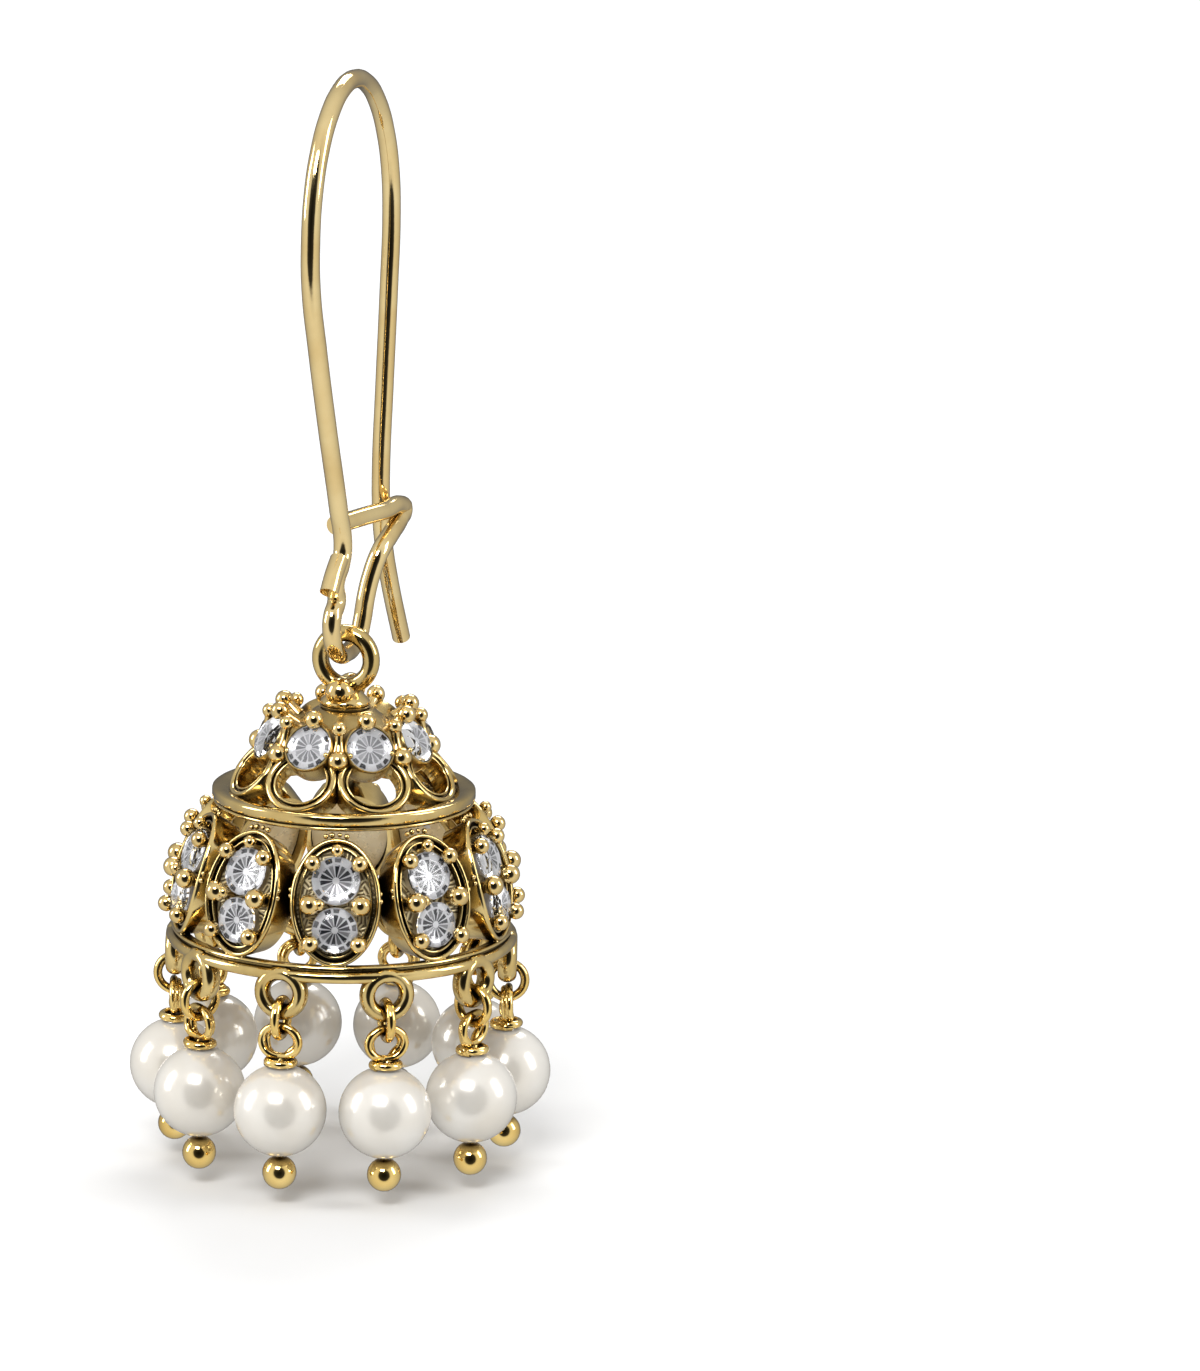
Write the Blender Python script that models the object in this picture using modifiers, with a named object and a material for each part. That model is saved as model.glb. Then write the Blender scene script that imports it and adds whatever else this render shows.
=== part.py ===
"""Jhumka earring: a bell of metal, clear stones and ten pearl drops on a bent ear wire.

Metres, +Z up. The origin is the middle of the wire at the top of the ear wire's arch.
The ear wire lies in the YZ plane, with its front leg at -Y. The bell hangs under it
by a ring and swings about a line along Y, through the bend that holds the ring.
Heights of the bell are measured from that line, heights of the wire from the arch.
An angle about Z is measured from -Y towards +X.
"""
import math
from collections import namedtuple

import bmesh
import bpy
from mathutils import Matrix, Vector

MM = 0.001
FINE = 1000.0
FLAT_ANGLE = math.radians(1)

# Ear wire
HOOK_WIRE = 1.02 * MM
HOOK_WIDTH = 13.2 * MM
HOOK_REACH = 31.2 * MM
ARCH_RISE = 8.0 * MM
ARCH_STEPS = 12
WIRE_SAMPLES = 8
WIRE_TURN = math.radians(15)
WIRE_RUN = 4.0 * MM

# Hanging ring, knob and cap
RING_OUTER = 3.86 * MM
RING_WIRE = 0.95 * MM
LINK_GAP = 0.14 * MM
KNOB_WIDTH = 2.72 * MM
KNOB_HEIGHT = 1.45 * MM
KNOB_BITE = 0.9 * MM
CAP_WALL = 0.55 * MM
CAP_STEPS = 12
RING_STEPS = 12

# Crown of stones
BELL_TURN = math.radians(16.5)
CROWN_COUNT = 8
CROWN_RADIUS = 4.3 * MM
CROWN_DROP = 1.6 * MM
CROWN_TILT = math.radians(32)
STONE_WIDTH = 2.5 * MM
STONE_CROWN = 0.42 * MM
STONE_GIRDLE = 0.12 * MM
STONE_PAVILION = 0.85 * MM
TABLE_SHARE = 0.58
SEAT_GAP = 0.08 * MM
COLLET_WALL = 0.25 * MM
COLLET_FLOOR = 0.25 * MM
COLLET_FOOT_SHARE = 0.82
TOP_GRAIN = 0.8 * MM
TOP_GRAIN_SEAT = 0.3
JOINT_GRAIN = 1.04 * MM
COLUMN_WIDTH = 0.6 * MM
JOINT_FALL = 0.4
JOINT_RISE = 0.85
COLLET_SIDES = 8
SMALL_GRAIN_SIDES = 6
JOINT_GRAIN_SIDES = 8
GRAIN_TOP_SHARE = 0.55
GRAIN_RISE = 0.75

# Scallops between the crown and the hoop
SCALLOP_BAND = 0.4 * MM
SCALLOP_DEPTH = 0.9 * MM
SCALLOP_STEPS = 5

# Hoop, skirt of oval panels and rim
HOOP_DROP = 4.55 * MM
HOOP_RADIUS = 7.2 * MM
HOOP_HEIGHT = 0.95 * MM
HOOP_DEPTH = 0.95 * MM
HOOP_STEPS = 30
SKIRT_HEIGHT = 6.8 * MM
SKIRT_BULGE = 0.6 * MM
RIM_RADIUS = 9.62 * MM
RIM_HEIGHT = 0.95 * MM
RIM_DEPTH = 1.0 * MM
RIM_STEPS = 36
SOLDER = 0.15 * MM
PANEL_COUNT = 10
PANEL_WIDTH = 5.0 * MM
PANEL_BAND = 0.34 * MM
PANEL_DEPTH = 1.6 * MM
PANEL_STEPS = 12
PLATE_RECESS = 0.42 * MM
PLATE_WALL = 0.45 * MM
PLATE_BENDS = (-0.4, 0.4)
PAIR_PITCH = 2.76 * MM

# Pearl drops under the rim
LUG_WIDTH = 2.95 * MM
LUG_BAND = 0.74 * MM
LUG_DEPTH = 1.0 * MM
LUG_RISE = 0.75 * MM
JUMP_WIRE = 0.5 * MM
JUMP_OUTER = 2.48 * MM
PIN_WIRE = 0.4 * MM
EYE_WIDTH = 2.4 * MM
EYE_HEIGHT = 2.1 * MM
EYE_SEAT = 0.3 * MM
DROP_GAP = 0.1 * MM
LUG_STEPS = 10
LINK_STEPS = 10
PEARL_WIDTH = 5.0 * MM
PEARL_BORE = 0.62 * MM
BALL_WIDTH = 1.85 * MM
PEARL_SIDES = 12
BALL_SIDES = 10
PIN_SIDES = 6

# Rows of the bent wire: side in wires, along in widths, down in reaches
WireRow = namedtuple("WireRow", "side along down")
FREE_LEG = (
    WireRow(-0.34, 0.795, 1.038),
    WireRow(-0.34, 0.625, 0.920),
    WireRow(-0.34, 0.538, 0.843),
    WireRow(-0.34, 0.504, 0.788),
    WireRow(-0.29, 0.481, 0.705),
    WireRow(-0.15, 0.476, 0.564),
    WireRow(0.00, 0.480, 0.388),
)
FRONT_LEG = (
    WireRow(0.00, -0.488, 0.333),
    WireRow(0.00, -0.402, 0.442),
    WireRow(0.00, -0.265, 0.590),
    WireRow(0.00, -0.121, 0.734),
    WireRow(0.00, -0.057, 0.808),
    WireRow(0.00, -0.076, 0.833),
    WireRow(0.00, -0.148, 0.869),
    WireRow(0.00, -0.125, 0.896),
    WireRow(0.00, -0.178, 0.923),
    WireRow(0.00, -0.182, 0.949),
    WireRow(0.00, -0.144, 0.978),
    WireRow(0.00, -0.068, 0.997),
    WireRow(0.00, 0.000, 1.000),
    WireRow(0.00, 0.076, 0.997),
)
CATCH = (
    WireRow(0.03, 0.152, 0.981),
    WireRow(0.10, 0.178, 0.955),
    WireRow(0.25, 0.189, 0.913),
    WireRow(0.45, 0.208, 0.875),
    WireRow(0.75, 0.238, 0.838),
    WireRow(0.92, 0.326, 0.814),
    WireRow(0.95, 0.447, 0.793),
    WireRow(0.95, 0.500, 0.777),
    WireRow(0.92, 0.462, 0.768),
    WireRow(0.68, 0.303, 0.768),
    WireRow(0.20, 0.167, 0.769),
    WireRow(-0.25, 0.053, 0.771),
    WireRow(-0.60, -0.036, 0.773),
)
TAIL = (
    WireRow(0.00, -0.098, 0.825),
    WireRow(-0.03, -0.160, 0.850),
    WireRow(-0.05, -0.212, 0.877),
)

# Section of the knob and cap, as shares of the knob's size and of the cap's reach and fall
TurnRow = namedtuple("TurnRow", "out down")
KNOB_ROWS = (
    TurnRow(0.00, 0.00),
    TurnRow(0.62, 0.10),
    TurnRow(1.00, 0.45),
    TurnRow(0.94, 0.75),
    TurnRow(0.80, 1.00),
)
CAP_ROWS = (
    TurnRow(0.52, 0.12),
    TurnRow(0.80, 0.45),
    TurnRow(1.00, 1.00),
)

# Sections of the hoop and the rim: in from the outer side and down from the top, as shares
RingRow = namedtuple("RingRow", "inward down")
HOOP_ROWS = (
    RingRow(0.25, 0.00),
    RingRow(0.00, 0.30),
    RingRow(0.00, 0.75),
    RingRow(0.25, 1.00),
    RingRow(1.00, 0.90),
    RingRow(1.00, 0.12),
)
RIM_ROWS = (
    RingRow(0.30, 0.00),
    RingRow(0.12, 0.25),
    RingRow(0.00, 0.50),
    RingRow(0.12, 0.95),
    RingRow(1.00, 0.90),
    RingRow(1.00, 0.12),
)

# Grains on a panel: across and along as shares of its half sizes, then the grain's width
GrainRow = namedtuple("GrainRow", "across along width")
PANEL_GRAINS = (
    GrainRow(-0.56, 0.00, 0.96 * MM),
    GrainRow(0.56, 0.00, 0.96 * MM),
)
GRAIN_SEAT = 0.3

# Finishes: colour, metallic value and roughness
Finish = namedtuple("Finish", "color metallic roughness")
FINISHES = {
    "antique_gold": Finish((0.62, 0.43, 0.17), 1.0, 0.3),
    "bright_gold": Finish((0.78, 0.55, 0.20), 1.0, 0.2),
    "pearl": Finish((0.87, 0.83, 0.76), 0.0, 0.25),
    "crystal": Finish((0.85, 0.87, 0.90), 0.0, 0.05),
}

# Heights below the swing line, worked out from the sizes above
RING_DROP = RING_OUTER / 2 - RING_WIRE - HOOK_WIRE / 2 - LINK_GAP
KNOB_TOP = RING_DROP + RING_OUTER / 2 - KNOB_BITE
KNOB_FOOT = KNOB_TOP + KNOB_HEIGHT
CROWN_LEVEL = KNOB_FOOT + CROWN_DROP
HOOP_TOP = KNOB_FOOT + HOOP_DROP
HOOP_FOOT = HOOP_TOP + HOOP_HEIGHT
RIM_TOP = HOOP_FOOT + SKIRT_HEIGHT
RIM_FOOT = RIM_TOP + RIM_HEIGHT
COLLET_INNER = STONE_WIDTH / 2 + SEAT_GAP
COLLET_OUTER = COLLET_INNER + COLLET_WALL
COLLET_DEPTH = STONE_PAVILION + SEAT_GAP + COLLET_FLOOR
CROWN_HALF_STEP = math.pi / CROWN_COUNT
PANEL_STEP = 2 * math.pi / PANEL_COUNT
LUG_CENTRE = RIM_FOOT + LUG_RISE
LUG_HOLE = LUG_WIDTH / 2 - LUG_BAND
DROP_RADIUS = RIM_RADIUS - RIM_DEPTH / 2
JUMP_HOLE = JUMP_OUTER / 2 - JUMP_WIRE
JUMP_CENTRE = LUG_CENTRE + LUG_HOLE - DROP_GAP + JUMP_HOLE
EYE_TOP = JUMP_CENTRE + JUMP_HOLE - DROP_GAP - PIN_WIRE
EYE_CENTRE = EYE_TOP + EYE_HEIGHT / 2
PEARL_CENTRE = EYE_TOP + EYE_HEIGHT + EYE_SEAT + PEARL_WIDTH / 2
BALL_CENTRE = PEARL_CENTRE + PEARL_WIDTH / 2 + DROP_GAP / 2 + BALL_WIDTH / 2

# The skirt's section is an arc from the hoop to the rim
SKIRT_HEAD = (HOOP_RADIUS - HOOP_DEPTH / 4, -(HOOP_FOOT - 2 * SOLDER))
SKIRT_FOOT = (RIM_RADIUS - RIM_DEPTH / 3, -(RIM_TOP + 2 * SOLDER))
SKIRT_CHORD = math.dist(SKIRT_HEAD, SKIRT_FOOT)
SKIRT_TILT = math.atan2(SKIRT_FOOT[0] - SKIRT_HEAD[0], SKIRT_HEAD[1] - SKIRT_FOOT[1])
SKIRT_ARC = (SKIRT_CHORD ** 2 / 4 + SKIRT_BULGE ** 2) / (2 * SKIRT_BULGE)


def clear_scene():
    """Remove every object of the starting scene."""
    for item in list(bpy.data.objects):
        bpy.data.objects.remove(item, do_unlink=True)


def make_materials():
    """Make one material for each finish."""
    made = {}
    for name, finish in FINISHES.items():
        material = bpy.data.materials.new(name)
        material.use_nodes = True
        shader = material.node_tree.nodes["Principled BSDF"]
        shader.inputs["Base Color"].default_value = (*finish.color, 1.0)
        shader.inputs["Metallic"].default_value = finish.metallic
        shader.inputs["Roughness"].default_value = finish.roughness
        made[name] = material
    return made


def turned(angle):
    """Rotation about the bell's axis."""
    return Matrix.Rotation(angle, 4, "Z")


def facing(angle, radius, height, tilt):
    """Frame with x along the ring, y up the slope and z outwards, tilted up by tilt."""
    lean = Matrix.Rotation(math.pi / 2 - tilt, 4, "X")
    return turned(angle) @ Matrix.Translation((0, -radius, height)) @ lean


def skirt_section(along, proud):
    """Radius and height of a point of the skirt, and the upward tilt of its face there."""
    middle_radius = (SKIRT_HEAD[0] + SKIRT_FOOT[0]) / 2
    middle_height = (SKIRT_HEAD[1] + SKIRT_FOOT[1]) / 2
    back = SKIRT_ARC - SKIRT_BULGE
    tilt = SKIRT_TILT + along / SKIRT_ARC
    reach = SKIRT_ARC + proud
    radius = middle_radius - back * math.cos(SKIRT_TILT) + reach * math.cos(tilt)
    height = middle_height - back * math.sin(SKIRT_TILT) + reach * math.sin(tilt)
    return radius, height, tilt


def ring_points(half_width, half_height, count):
    """Points of an ellipse in the XY plane."""
    angles = [2 * math.pi * i / count for i in range(count)]
    return [Vector((half_width * math.cos(a), half_height * math.sin(a), 0)) for a in angles]


def smooth_route(points):
    """Catmull-Rom samples through the points, kept only where the wire turns or runs far."""
    ends = [2 * points[0] - points[1]] + list(points) + [2 * points[-1] - points[-2]]
    fine = []
    for a, b, c, d in zip(ends, ends[1:], ends[2:], ends[3:]):
        for step in range(WIRE_SAMPLES):
            t = step / WIRE_SAMPLES
            pull = (2 * a - 5 * b + 4 * c - d) * t * t
            twist = (3 * b - a - 3 * c + d) * t * t * t
            fine.append((2 * b + (c - a) * t + pull + twist) / 2)
    fine.append(points[-1])
    kept = [fine[0]]
    turn = 0.0
    for before, here, after in zip(fine, fine[1:], fine[2:]):
        turn += (here - before).angle(after - here)
        if turn > WIRE_TURN or (here - kept[-1]).length > WIRE_RUN:
            kept.append(here)
            turn = 0.0
    return kept + [fine[-1]]


def mesh_of_curve(curve):
    """Mesh of a curve, with its caps welded."""
    holder = bpy.data.objects.new("curve", curve)
    bpy.context.scene.collection.objects.link(holder)
    graph = bpy.context.evaluated_depsgraph_get()
    mesh = bpy.data.meshes.new_from_object(holder.evaluated_get(graph))
    bpy.data.objects.remove(holder, do_unlink=True)
    work = bmesh.new()
    work.from_mesh(mesh)
    bmesh.ops.remove_doubles(work, verts=work.verts, dist=1e-7)
    work.to_mesh(mesh)
    work.free()
    return mesh


def tube(points, width, resolution, closed=False):
    """Round wire along the points. Its section has 4 sides and 2 more for each resolution."""
    curve = bpy.data.curves.new("tube", "CURVE")
    curve.dimensions = "3D"
    curve.bevel_depth = width / 2
    curve.bevel_resolution = resolution
    curve.use_fill_caps = True
    spline = curve.splines.new("POLY")
    spline.points.add(len(points) - 1)
    for slot, point in zip(spline.points, points):
        slot.co = (*point, 1)
    spline.use_cyclic_u = closed
    return mesh_of_curve(curve)


def plate(outlines, thickness):
    """Flat plate of one outline and its holes, centred on the XY plane."""
    curve = bpy.data.curves.new("plate", "CURVE")
    curve.dimensions = "2D"
    curve.fill_mode = "BOTH"
    curve.extrude = thickness / 2
    for outline in outlines:
        spline = curve.splines.new("POLY")
        spline.points.add(len(outline) - 1)
        for slot, point in zip(spline.points, outline):
            slot.co = (*point, 1)
        spline.use_cyclic_u = True
    return mesh_of_curve(curve)


def add_mesh(work, mesh, place=Matrix()):
    """Append a placed copy of a mesh."""
    copy = mesh.copy()
    copy.transform(place)
    work.from_mesh(copy)
    bpy.data.meshes.remove(copy)


def add_ball(work, width, place, sides):
    """Append a ball with half as many rings as sides."""
    bmesh.ops.create_uvsphere(work, u_segments=sides, v_segments=sides // 2,
                              radius=width / 2, matrix=place)


def add_post(work, widths, start, end, sides, place=Matrix()):
    """Append a straight post between two points, with its widths there."""
    span = end - start
    spin = span.to_track_quat("Z", "Y").to_matrix().to_4x4()
    bmesh.ops.create_cone(work, cap_ends=True, segments=sides, radius1=widths[0] / 2,
                          radius2=widths[1] / 2, depth=span.length,
                          matrix=place @ Matrix.Translation((start + end) / 2) @ spin)


def as_mesh(work, name):
    """Turn a bmesh into a mesh."""
    mesh = bpy.data.meshes.new(name)
    work.to_mesh(mesh)
    work.free()
    return mesh


def fused(name, shapes, operation="UNION", touching_itself=False):
    """One mesh of the first shape and the others, joined or cut by Boolean modifiers.

    The shapes are enlarged for the cut, because a Boolean loses edges of a few microns.
    The exact solver leaves slits where many small facets meet, so it serves only a
    shape that crosses itself, which the manifold solver can't take.
    """
    holders = []
    for shape in shapes:
        shape.transform(Matrix.Scale(FINE, 4))
        holder = bpy.data.objects.new(name, shape)
        bpy.context.scene.collection.objects.link(holder)
        holders.append(holder)
    for tool in holders[1:]:
        join = holders[0].modifiers.new(tool.name, "BOOLEAN")
        join.operation = operation
        join.solver = "EXACT" if touching_itself else "MANIFOLD"
        join.use_self = touching_itself
        join.object = tool
    graph = bpy.context.evaluated_depsgraph_get()
    mesh = bpy.data.meshes.new_from_object(holders[0].evaluated_get(graph))
    for holder in holders:
        bpy.data.objects.remove(holder, do_unlink=True)
    mesh.transform(Matrix.Scale(1 / FINE, 4))
    mesh.name = name
    return mesh


def merged_flats(mesh):
    """Dissolve the extra edges that a Boolean leaves on flat faces."""
    work = bmesh.new()
    work.from_mesh(mesh)
    bmesh.ops.dissolve_limit(work, angle_limit=FLAT_ANGLE, verts=work.verts, edges=work.edges)
    bmesh.ops.triangulate(work, faces=work.faces)
    work.to_mesh(mesh)
    work.free()
    return mesh


def screwed(profile, steps):
    """Mesh of a closed or axis-to-axis profile turned about Z by a Screw modifier."""
    mesh = bpy.data.meshes.new("profile")
    closed = min(point[0] for point in profile) > 0
    count = len(profile)
    edges = [(i, (i + 1) % count) for i in range(count if closed else count - 1)]
    mesh.from_pydata([(point[0], 0, point[1]) for point in profile], edges, [])
    holder = bpy.data.objects.new("turned", mesh)
    bpy.context.scene.collection.objects.link(holder)
    screw = holder.modifiers.new("Screw", "SCREW")
    screw.steps = steps
    screw.render_steps = steps
    screw.use_merge_vertices = True
    screw.merge_threshold = 1e-6
    graph = bpy.context.evaluated_depsgraph_get()
    solid = bpy.data.meshes.new_from_object(holder.evaluated_get(graph))
    bpy.data.objects.remove(holder, do_unlink=True)
    return solid


def wire_point(row):
    """Place of a row of the bent wire."""
    return Vector((row.side * HOOK_WIRE, row.along * HOOK_WIDTH, -row.down * HOOK_REACH))


def ear_hook_mesh():
    """One wire from its free end over the arch, through the bell's ring and back to the leg."""
    arch = []
    for i in range(ARCH_STEPS + 1):
        a = math.pi * i / ARCH_STEPS
        arch.append(Vector((0, HOOK_WIDTH / 2 * math.cos(a), ARCH_RISE * (math.sin(a) - 1))))
    route = [wire_point(row) for row in FREE_LEG]
    route += arch
    route += [wire_point(row) for row in FRONT_LEG + CATCH]
    wire = tube(smooth_route(route), HOOK_WIRE, 2)
    tail = tube([wire_point(row) for row in TAIL], HOOK_WIRE, 2)
    return fused("ear_hook", [wire, tail], touching_itself=True)


def cut_stone(work, width, place, set_in=0.0):
    """Append an eight-sided stone: table, sloping crown, girdle and pointed pavilion.

    A stone that is set in has a straight wall of that depth in place of its pavilion.
    """
    girdle = width / 2
    table = girdle * TABLE_SHARE
    levels = [(girdle, table, STONE_CROWN, STONE_GIRDLE / 2 + STONE_CROWN / 2)]
    if set_in:
        levels.append((girdle, girdle, set_in, STONE_GIRDLE / 2 - set_in / 2))
    else:
        levels.append((girdle, girdle, STONE_GIRDLE, 0.0))
        levels.append((0.0, girdle, STONE_PAVILION, -STONE_GIRDLE / 2 - STONE_PAVILION / 2))
    fresh = []
    for low, high, depth, middle in levels:
        cone = bmesh.ops.create_cone(work, cap_ends=False, segments=8, radius1=low, radius2=high,
                                     depth=depth,
                                     matrix=place @ Matrix.Translation((0, 0, middle)))
        fresh += cone["verts"]
    bmesh.ops.remove_doubles(work, verts=fresh, dist=1e-7)
    bmesh.ops.holes_fill(work, edges=[e for e in work.edges if e.is_boundary], sides=8)
    bmesh.ops.recalc_face_normals(work, faces=work.faces)


def cap_mesh():
    """Knob and shallow cap, down to the backs of the collets."""
    reach = CROWN_RADIUS - COLLET_DEPTH * math.cos(CROWN_TILT) + COLLET_WALL
    fall = CROWN_DROP - COLLET_DEPTH * math.sin(CROWN_TILT) + COLLET_WALL
    outer = [(row.out * KNOB_WIDTH / 2, -KNOB_TOP - row.down * KNOB_HEIGHT) for row in KNOB_ROWS]
    outer += [(row.out * reach, -KNOB_FOOT - row.down * fall) for row in CAP_ROWS]
    inner = [(row.out * reach, -KNOB_FOOT - row.down * fall - CAP_WALL) for row in CAP_ROWS]
    inner = list(reversed(inner)) + [(0.0, inner[0][1])]
    return screwed(outer + inner, CAP_STEPS)


def ring_mesh():
    """Hanging ring in the XZ plane, its lower side sunk in the knob."""
    radius = (RING_OUTER - RING_WIRE) / 2
    ring = tube(ring_points(radius, radius, RING_STEPS), RING_WIRE, 1, closed=True)
    ring.transform(Matrix.Translation((0, 0, -RING_DROP)) @ Matrix.Rotation(math.pi / 2, 4, "X"))
    return ring


def band_ring(rows, outer, top, depth, height, steps):
    """Turned ring with the section that the rows give."""
    points = [(outer - row.inward * depth, -top - row.down * height) for row in rows]
    return screwed(points, steps)


def crown_angles():
    """Angle of each crown stone; a joint between two stones faces the front."""
    return [BELL_TURN + CROWN_HALF_STEP * (2 * i + 1) for i in range(CROWN_COUNT)]


def stone_seat(angle):
    """Frame of a crown stone, on its girdle."""
    return facing(angle, CROWN_RADIUS, -CROWN_LEVEL, CROWN_TILT)


def joint_places():
    """Radius and height of the grain between two collets, and of the top of its column."""
    grain = stone_seat(0) @ Vector((0, -JOINT_FALL * COLLET_OUTER, 0))
    top = stone_seat(0) @ Vector((0, JOINT_RISE * COLLET_OUTER, -STONE_GIRDLE))
    reach = 1 / math.cos(CROWN_HALF_STEP)
    return (-grain.y * reach, grain.z), (-top.y * reach, top.z)


def collets_mesh():
    """Cups of the crown stones."""
    outer = bmesh.new()
    inner = bmesh.new()
    for angle in crown_angles():
        seat = stone_seat(angle)
        floor = Vector((0, 0, -COLLET_DEPTH))
        add_post(outer, (2 * COLLET_OUTER * COLLET_FOOT_SHARE, 2 * COLLET_OUTER), floor,
                 Vector((0, 0, 0)), COLLET_SIDES, seat)
        floor = Vector((0, 0, COLLET_FLOOR - COLLET_DEPTH))
        add_post(inner, (2 * COLLET_INNER * COLLET_FOOT_SHARE, 2 * COLLET_INNER), floor,
                 Vector((0, 0, SEAT_GAP)), COLLET_SIDES, seat)
    return as_mesh(outer, "collets"), as_mesh(inner, "seats")


def crown_grains_mesh():
    """Grains over each stone and at each joint, and the columns over the joints."""
    grains = bmesh.new()
    columns = bmesh.new()
    grain, top = joint_places()
    for angle in crown_angles():
        above = stone_seat(angle) @ Matrix.Translation(
            (0, COLLET_OUTER + TOP_GRAIN * TOP_GRAIN_SEAT, 0))
        add_ball(grains, TOP_GRAIN, above, SMALL_GRAIN_SIDES)
        joint = turned(angle + CROWN_HALF_STEP)
        low = joint @ Vector((0, -grain[0], grain[1]))
        high = joint @ Vector((0, -top[0], top[1]))
        add_ball(grains, JOINT_GRAIN, Matrix.Translation(low) @ joint, JOINT_GRAIN_SIDES)
        add_post(columns, (COLUMN_WIDTH, COLUMN_WIDTH), low, high, PIN_SIDES)
    return as_mesh(grains, "grains"), as_mesh(columns, "columns")


def scallop_outline(width, height):
    """Outline of a U band, open at the top."""
    outer = []
    inner = []
    for i in range(SCALLOP_STEPS + 1):
        a = math.pi + math.pi * i / SCALLOP_STEPS
        outer.append(Vector((width / 2 * math.cos(a), height * math.sin(a), 0)))
        inner.append(Vector(((width / 2 - SCALLOP_BAND) * math.cos(a),
                             (height - SCALLOP_BAND) * math.sin(a), 0)))
    return outer + list(reversed(inner))


def scallops_meshes():
    """U bands from the joint grains down to the hoop, in two sets whose members don't meet."""
    grain, _ = joint_places()
    head = Vector((0, -grain[0] * math.cos(CROWN_HALF_STEP), grain[1]))
    foot = Vector((0, -(HOOP_RADIUS - HOOP_DEPTH / 2), -HOOP_TOP - SOLDER))
    height = (head - foot).length
    tilt = math.atan2(head.y - foot.y, head.z - foot.z)
    width = 2 * grain[0] * math.sin(CROWN_HALF_STEP) + SCALLOP_BAND / 2
    band = plate([scallop_outline(width, height)], SCALLOP_DEPTH)
    band.transform(Matrix.Translation((0, 0, -SCALLOP_DEPTH / 2)))
    sets = (bmesh.new(), bmesh.new())
    for i, angle in enumerate(crown_angles()):
        add_mesh(sets[i % 2], band, facing(angle, -head.y, head.z, tilt))
    return [as_mesh(work, "scallops") for work in sets]


def bent(mesh, cuts=()):
    """Bend a flat panel piece, x across, y along and z proud, to the skirt's arc.

    It is first cut across at the given shares of its half length, to bend there.
    """
    work = bmesh.new()
    work.from_mesh(mesh)
    for share in cuts:
        cut = Vector((0, share * SKIRT_CHORD / 2, 0))
        everything = work.verts[:] + work.edges[:] + work.faces[:]
        bmesh.ops.bisect_plane(work, geom=everything, plane_co=cut, plane_no=(0, 1, 0), dist=1e-7)
    for vert in work.verts:
        radius, height, _ = skirt_section(vert.co.y, vert.co.z)
        vert.co = Vector((vert.co.x, -radius, height))
    bmesh.ops.triangulate(work, faces=work.faces)
    return as_mesh(work, "bent")


def panel_mesh():
    """One oval panel: a deep wall round a set-back plate with two stones and two grains."""
    half_width = PANEL_WIDTH / 2
    half_length = SKIRT_CHORD / 2
    wall = plate([ring_points(half_width, half_length, PANEL_STEPS),
                  ring_points(half_width - PANEL_BAND, half_length - PANEL_BAND, PANEL_STEPS)],
                 PANEL_DEPTH)
    wall.transform(Matrix.Translation((0, 0, -PANEL_DEPTH / 2)))
    back = plate([ring_points(half_width - PANEL_BAND / 2, half_length - PANEL_BAND / 2,
                              PANEL_STEPS)], PLATE_WALL)
    back.transform(Matrix.Translation((0, 0, -PLATE_RECESS - PLATE_WALL / 2)))
    stones = bmesh.new()
    for side in (-1, 1):
        radius, height, tilt = skirt_section(side * PAIR_PITCH / 2, -STONE_GIRDLE)
        cut_stone(stones, STONE_WIDTH, facing(0, radius, height, tilt), PLATE_RECESS)
    grains = bmesh.new()
    for row in PANEL_GRAINS:
        radius, height, tilt = skirt_section(row.along * half_length, -PLATE_RECESS)
        foot = Vector((row.across * half_width, 0, -GRAIN_SEAT * row.width))
        head = Vector((row.across * half_width, 0, GRAIN_RISE * row.width))
        add_post(grains, (row.width, row.width * GRAIN_TOP_SHARE), foot, head,
                 SMALL_GRAIN_SIDES, facing(0, radius, height, tilt))
    return merged_flats(fused("panel", [bent(wall), bent(back, PLATE_BENDS),
                                        as_mesh(stones, "stones"), as_mesh(grains, "grains")]))


def panels_meshes():
    """All panels, in two sets whose members don't meet."""
    panel = panel_mesh()
    sets = (bmesh.new(), bmesh.new())
    for i in range(PANEL_COUNT):
        add_mesh(sets[i % 2], panel, turned(BELL_TURN + PANEL_STEP * i))
    return [as_mesh(work, "panels") for work in sets]


def drop_angles():
    """Angle of each pearl drop, under the joints between the panels."""
    return [BELL_TURN + PANEL_STEP * (i + 0.5) for i in range(PANEL_COUNT)]


def lugs_mesh():
    """Thick loops soldered under the rim."""
    outside = LUG_WIDTH / 2
    hole = outside - LUG_BAND
    lug = plate([ring_points(outside, outside, LUG_STEPS), ring_points(hole, hole, LUG_STEPS)],
                LUG_DEPTH)
    lugs = bmesh.new()
    for angle in drop_angles():
        add_mesh(lugs, lug, facing(angle, DROP_RADIUS, -LUG_CENTRE, 0))
    return as_mesh(lugs, "lugs")


def bell_mesh():
    """Cap, crown, hoop, skirt, rim and loops as one soldered solid."""
    collets, seats = collets_mesh()
    grains, columns = crown_grains_mesh()
    hoop = band_ring(HOOP_ROWS, HOOP_RADIUS, HOOP_TOP, HOOP_DEPTH, HOOP_HEIGHT, HOOP_STEPS)
    rim = band_ring(RIM_ROWS, RIM_RADIUS, RIM_TOP, RIM_DEPTH, RIM_HEIGHT, RIM_STEPS)
    crown = fused("crown", [cap_mesh(), collets, columns])
    crown = merged_flats(fused("crown", [crown, seats], operation="DIFFERENCE"))
    pieces = [crown, ring_mesh(), grains, *scallops_meshes(), hoop, *panels_meshes(), rim,
              lugs_mesh()]
    return fused("bell", pieces)


def crown_stone_mesh():
    """Crown stone, its table up its own z axis."""
    work = bmesh.new()
    cut_stone(work, STONE_WIDTH, Matrix())
    return as_mesh(work, "crown_stone")


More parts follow.
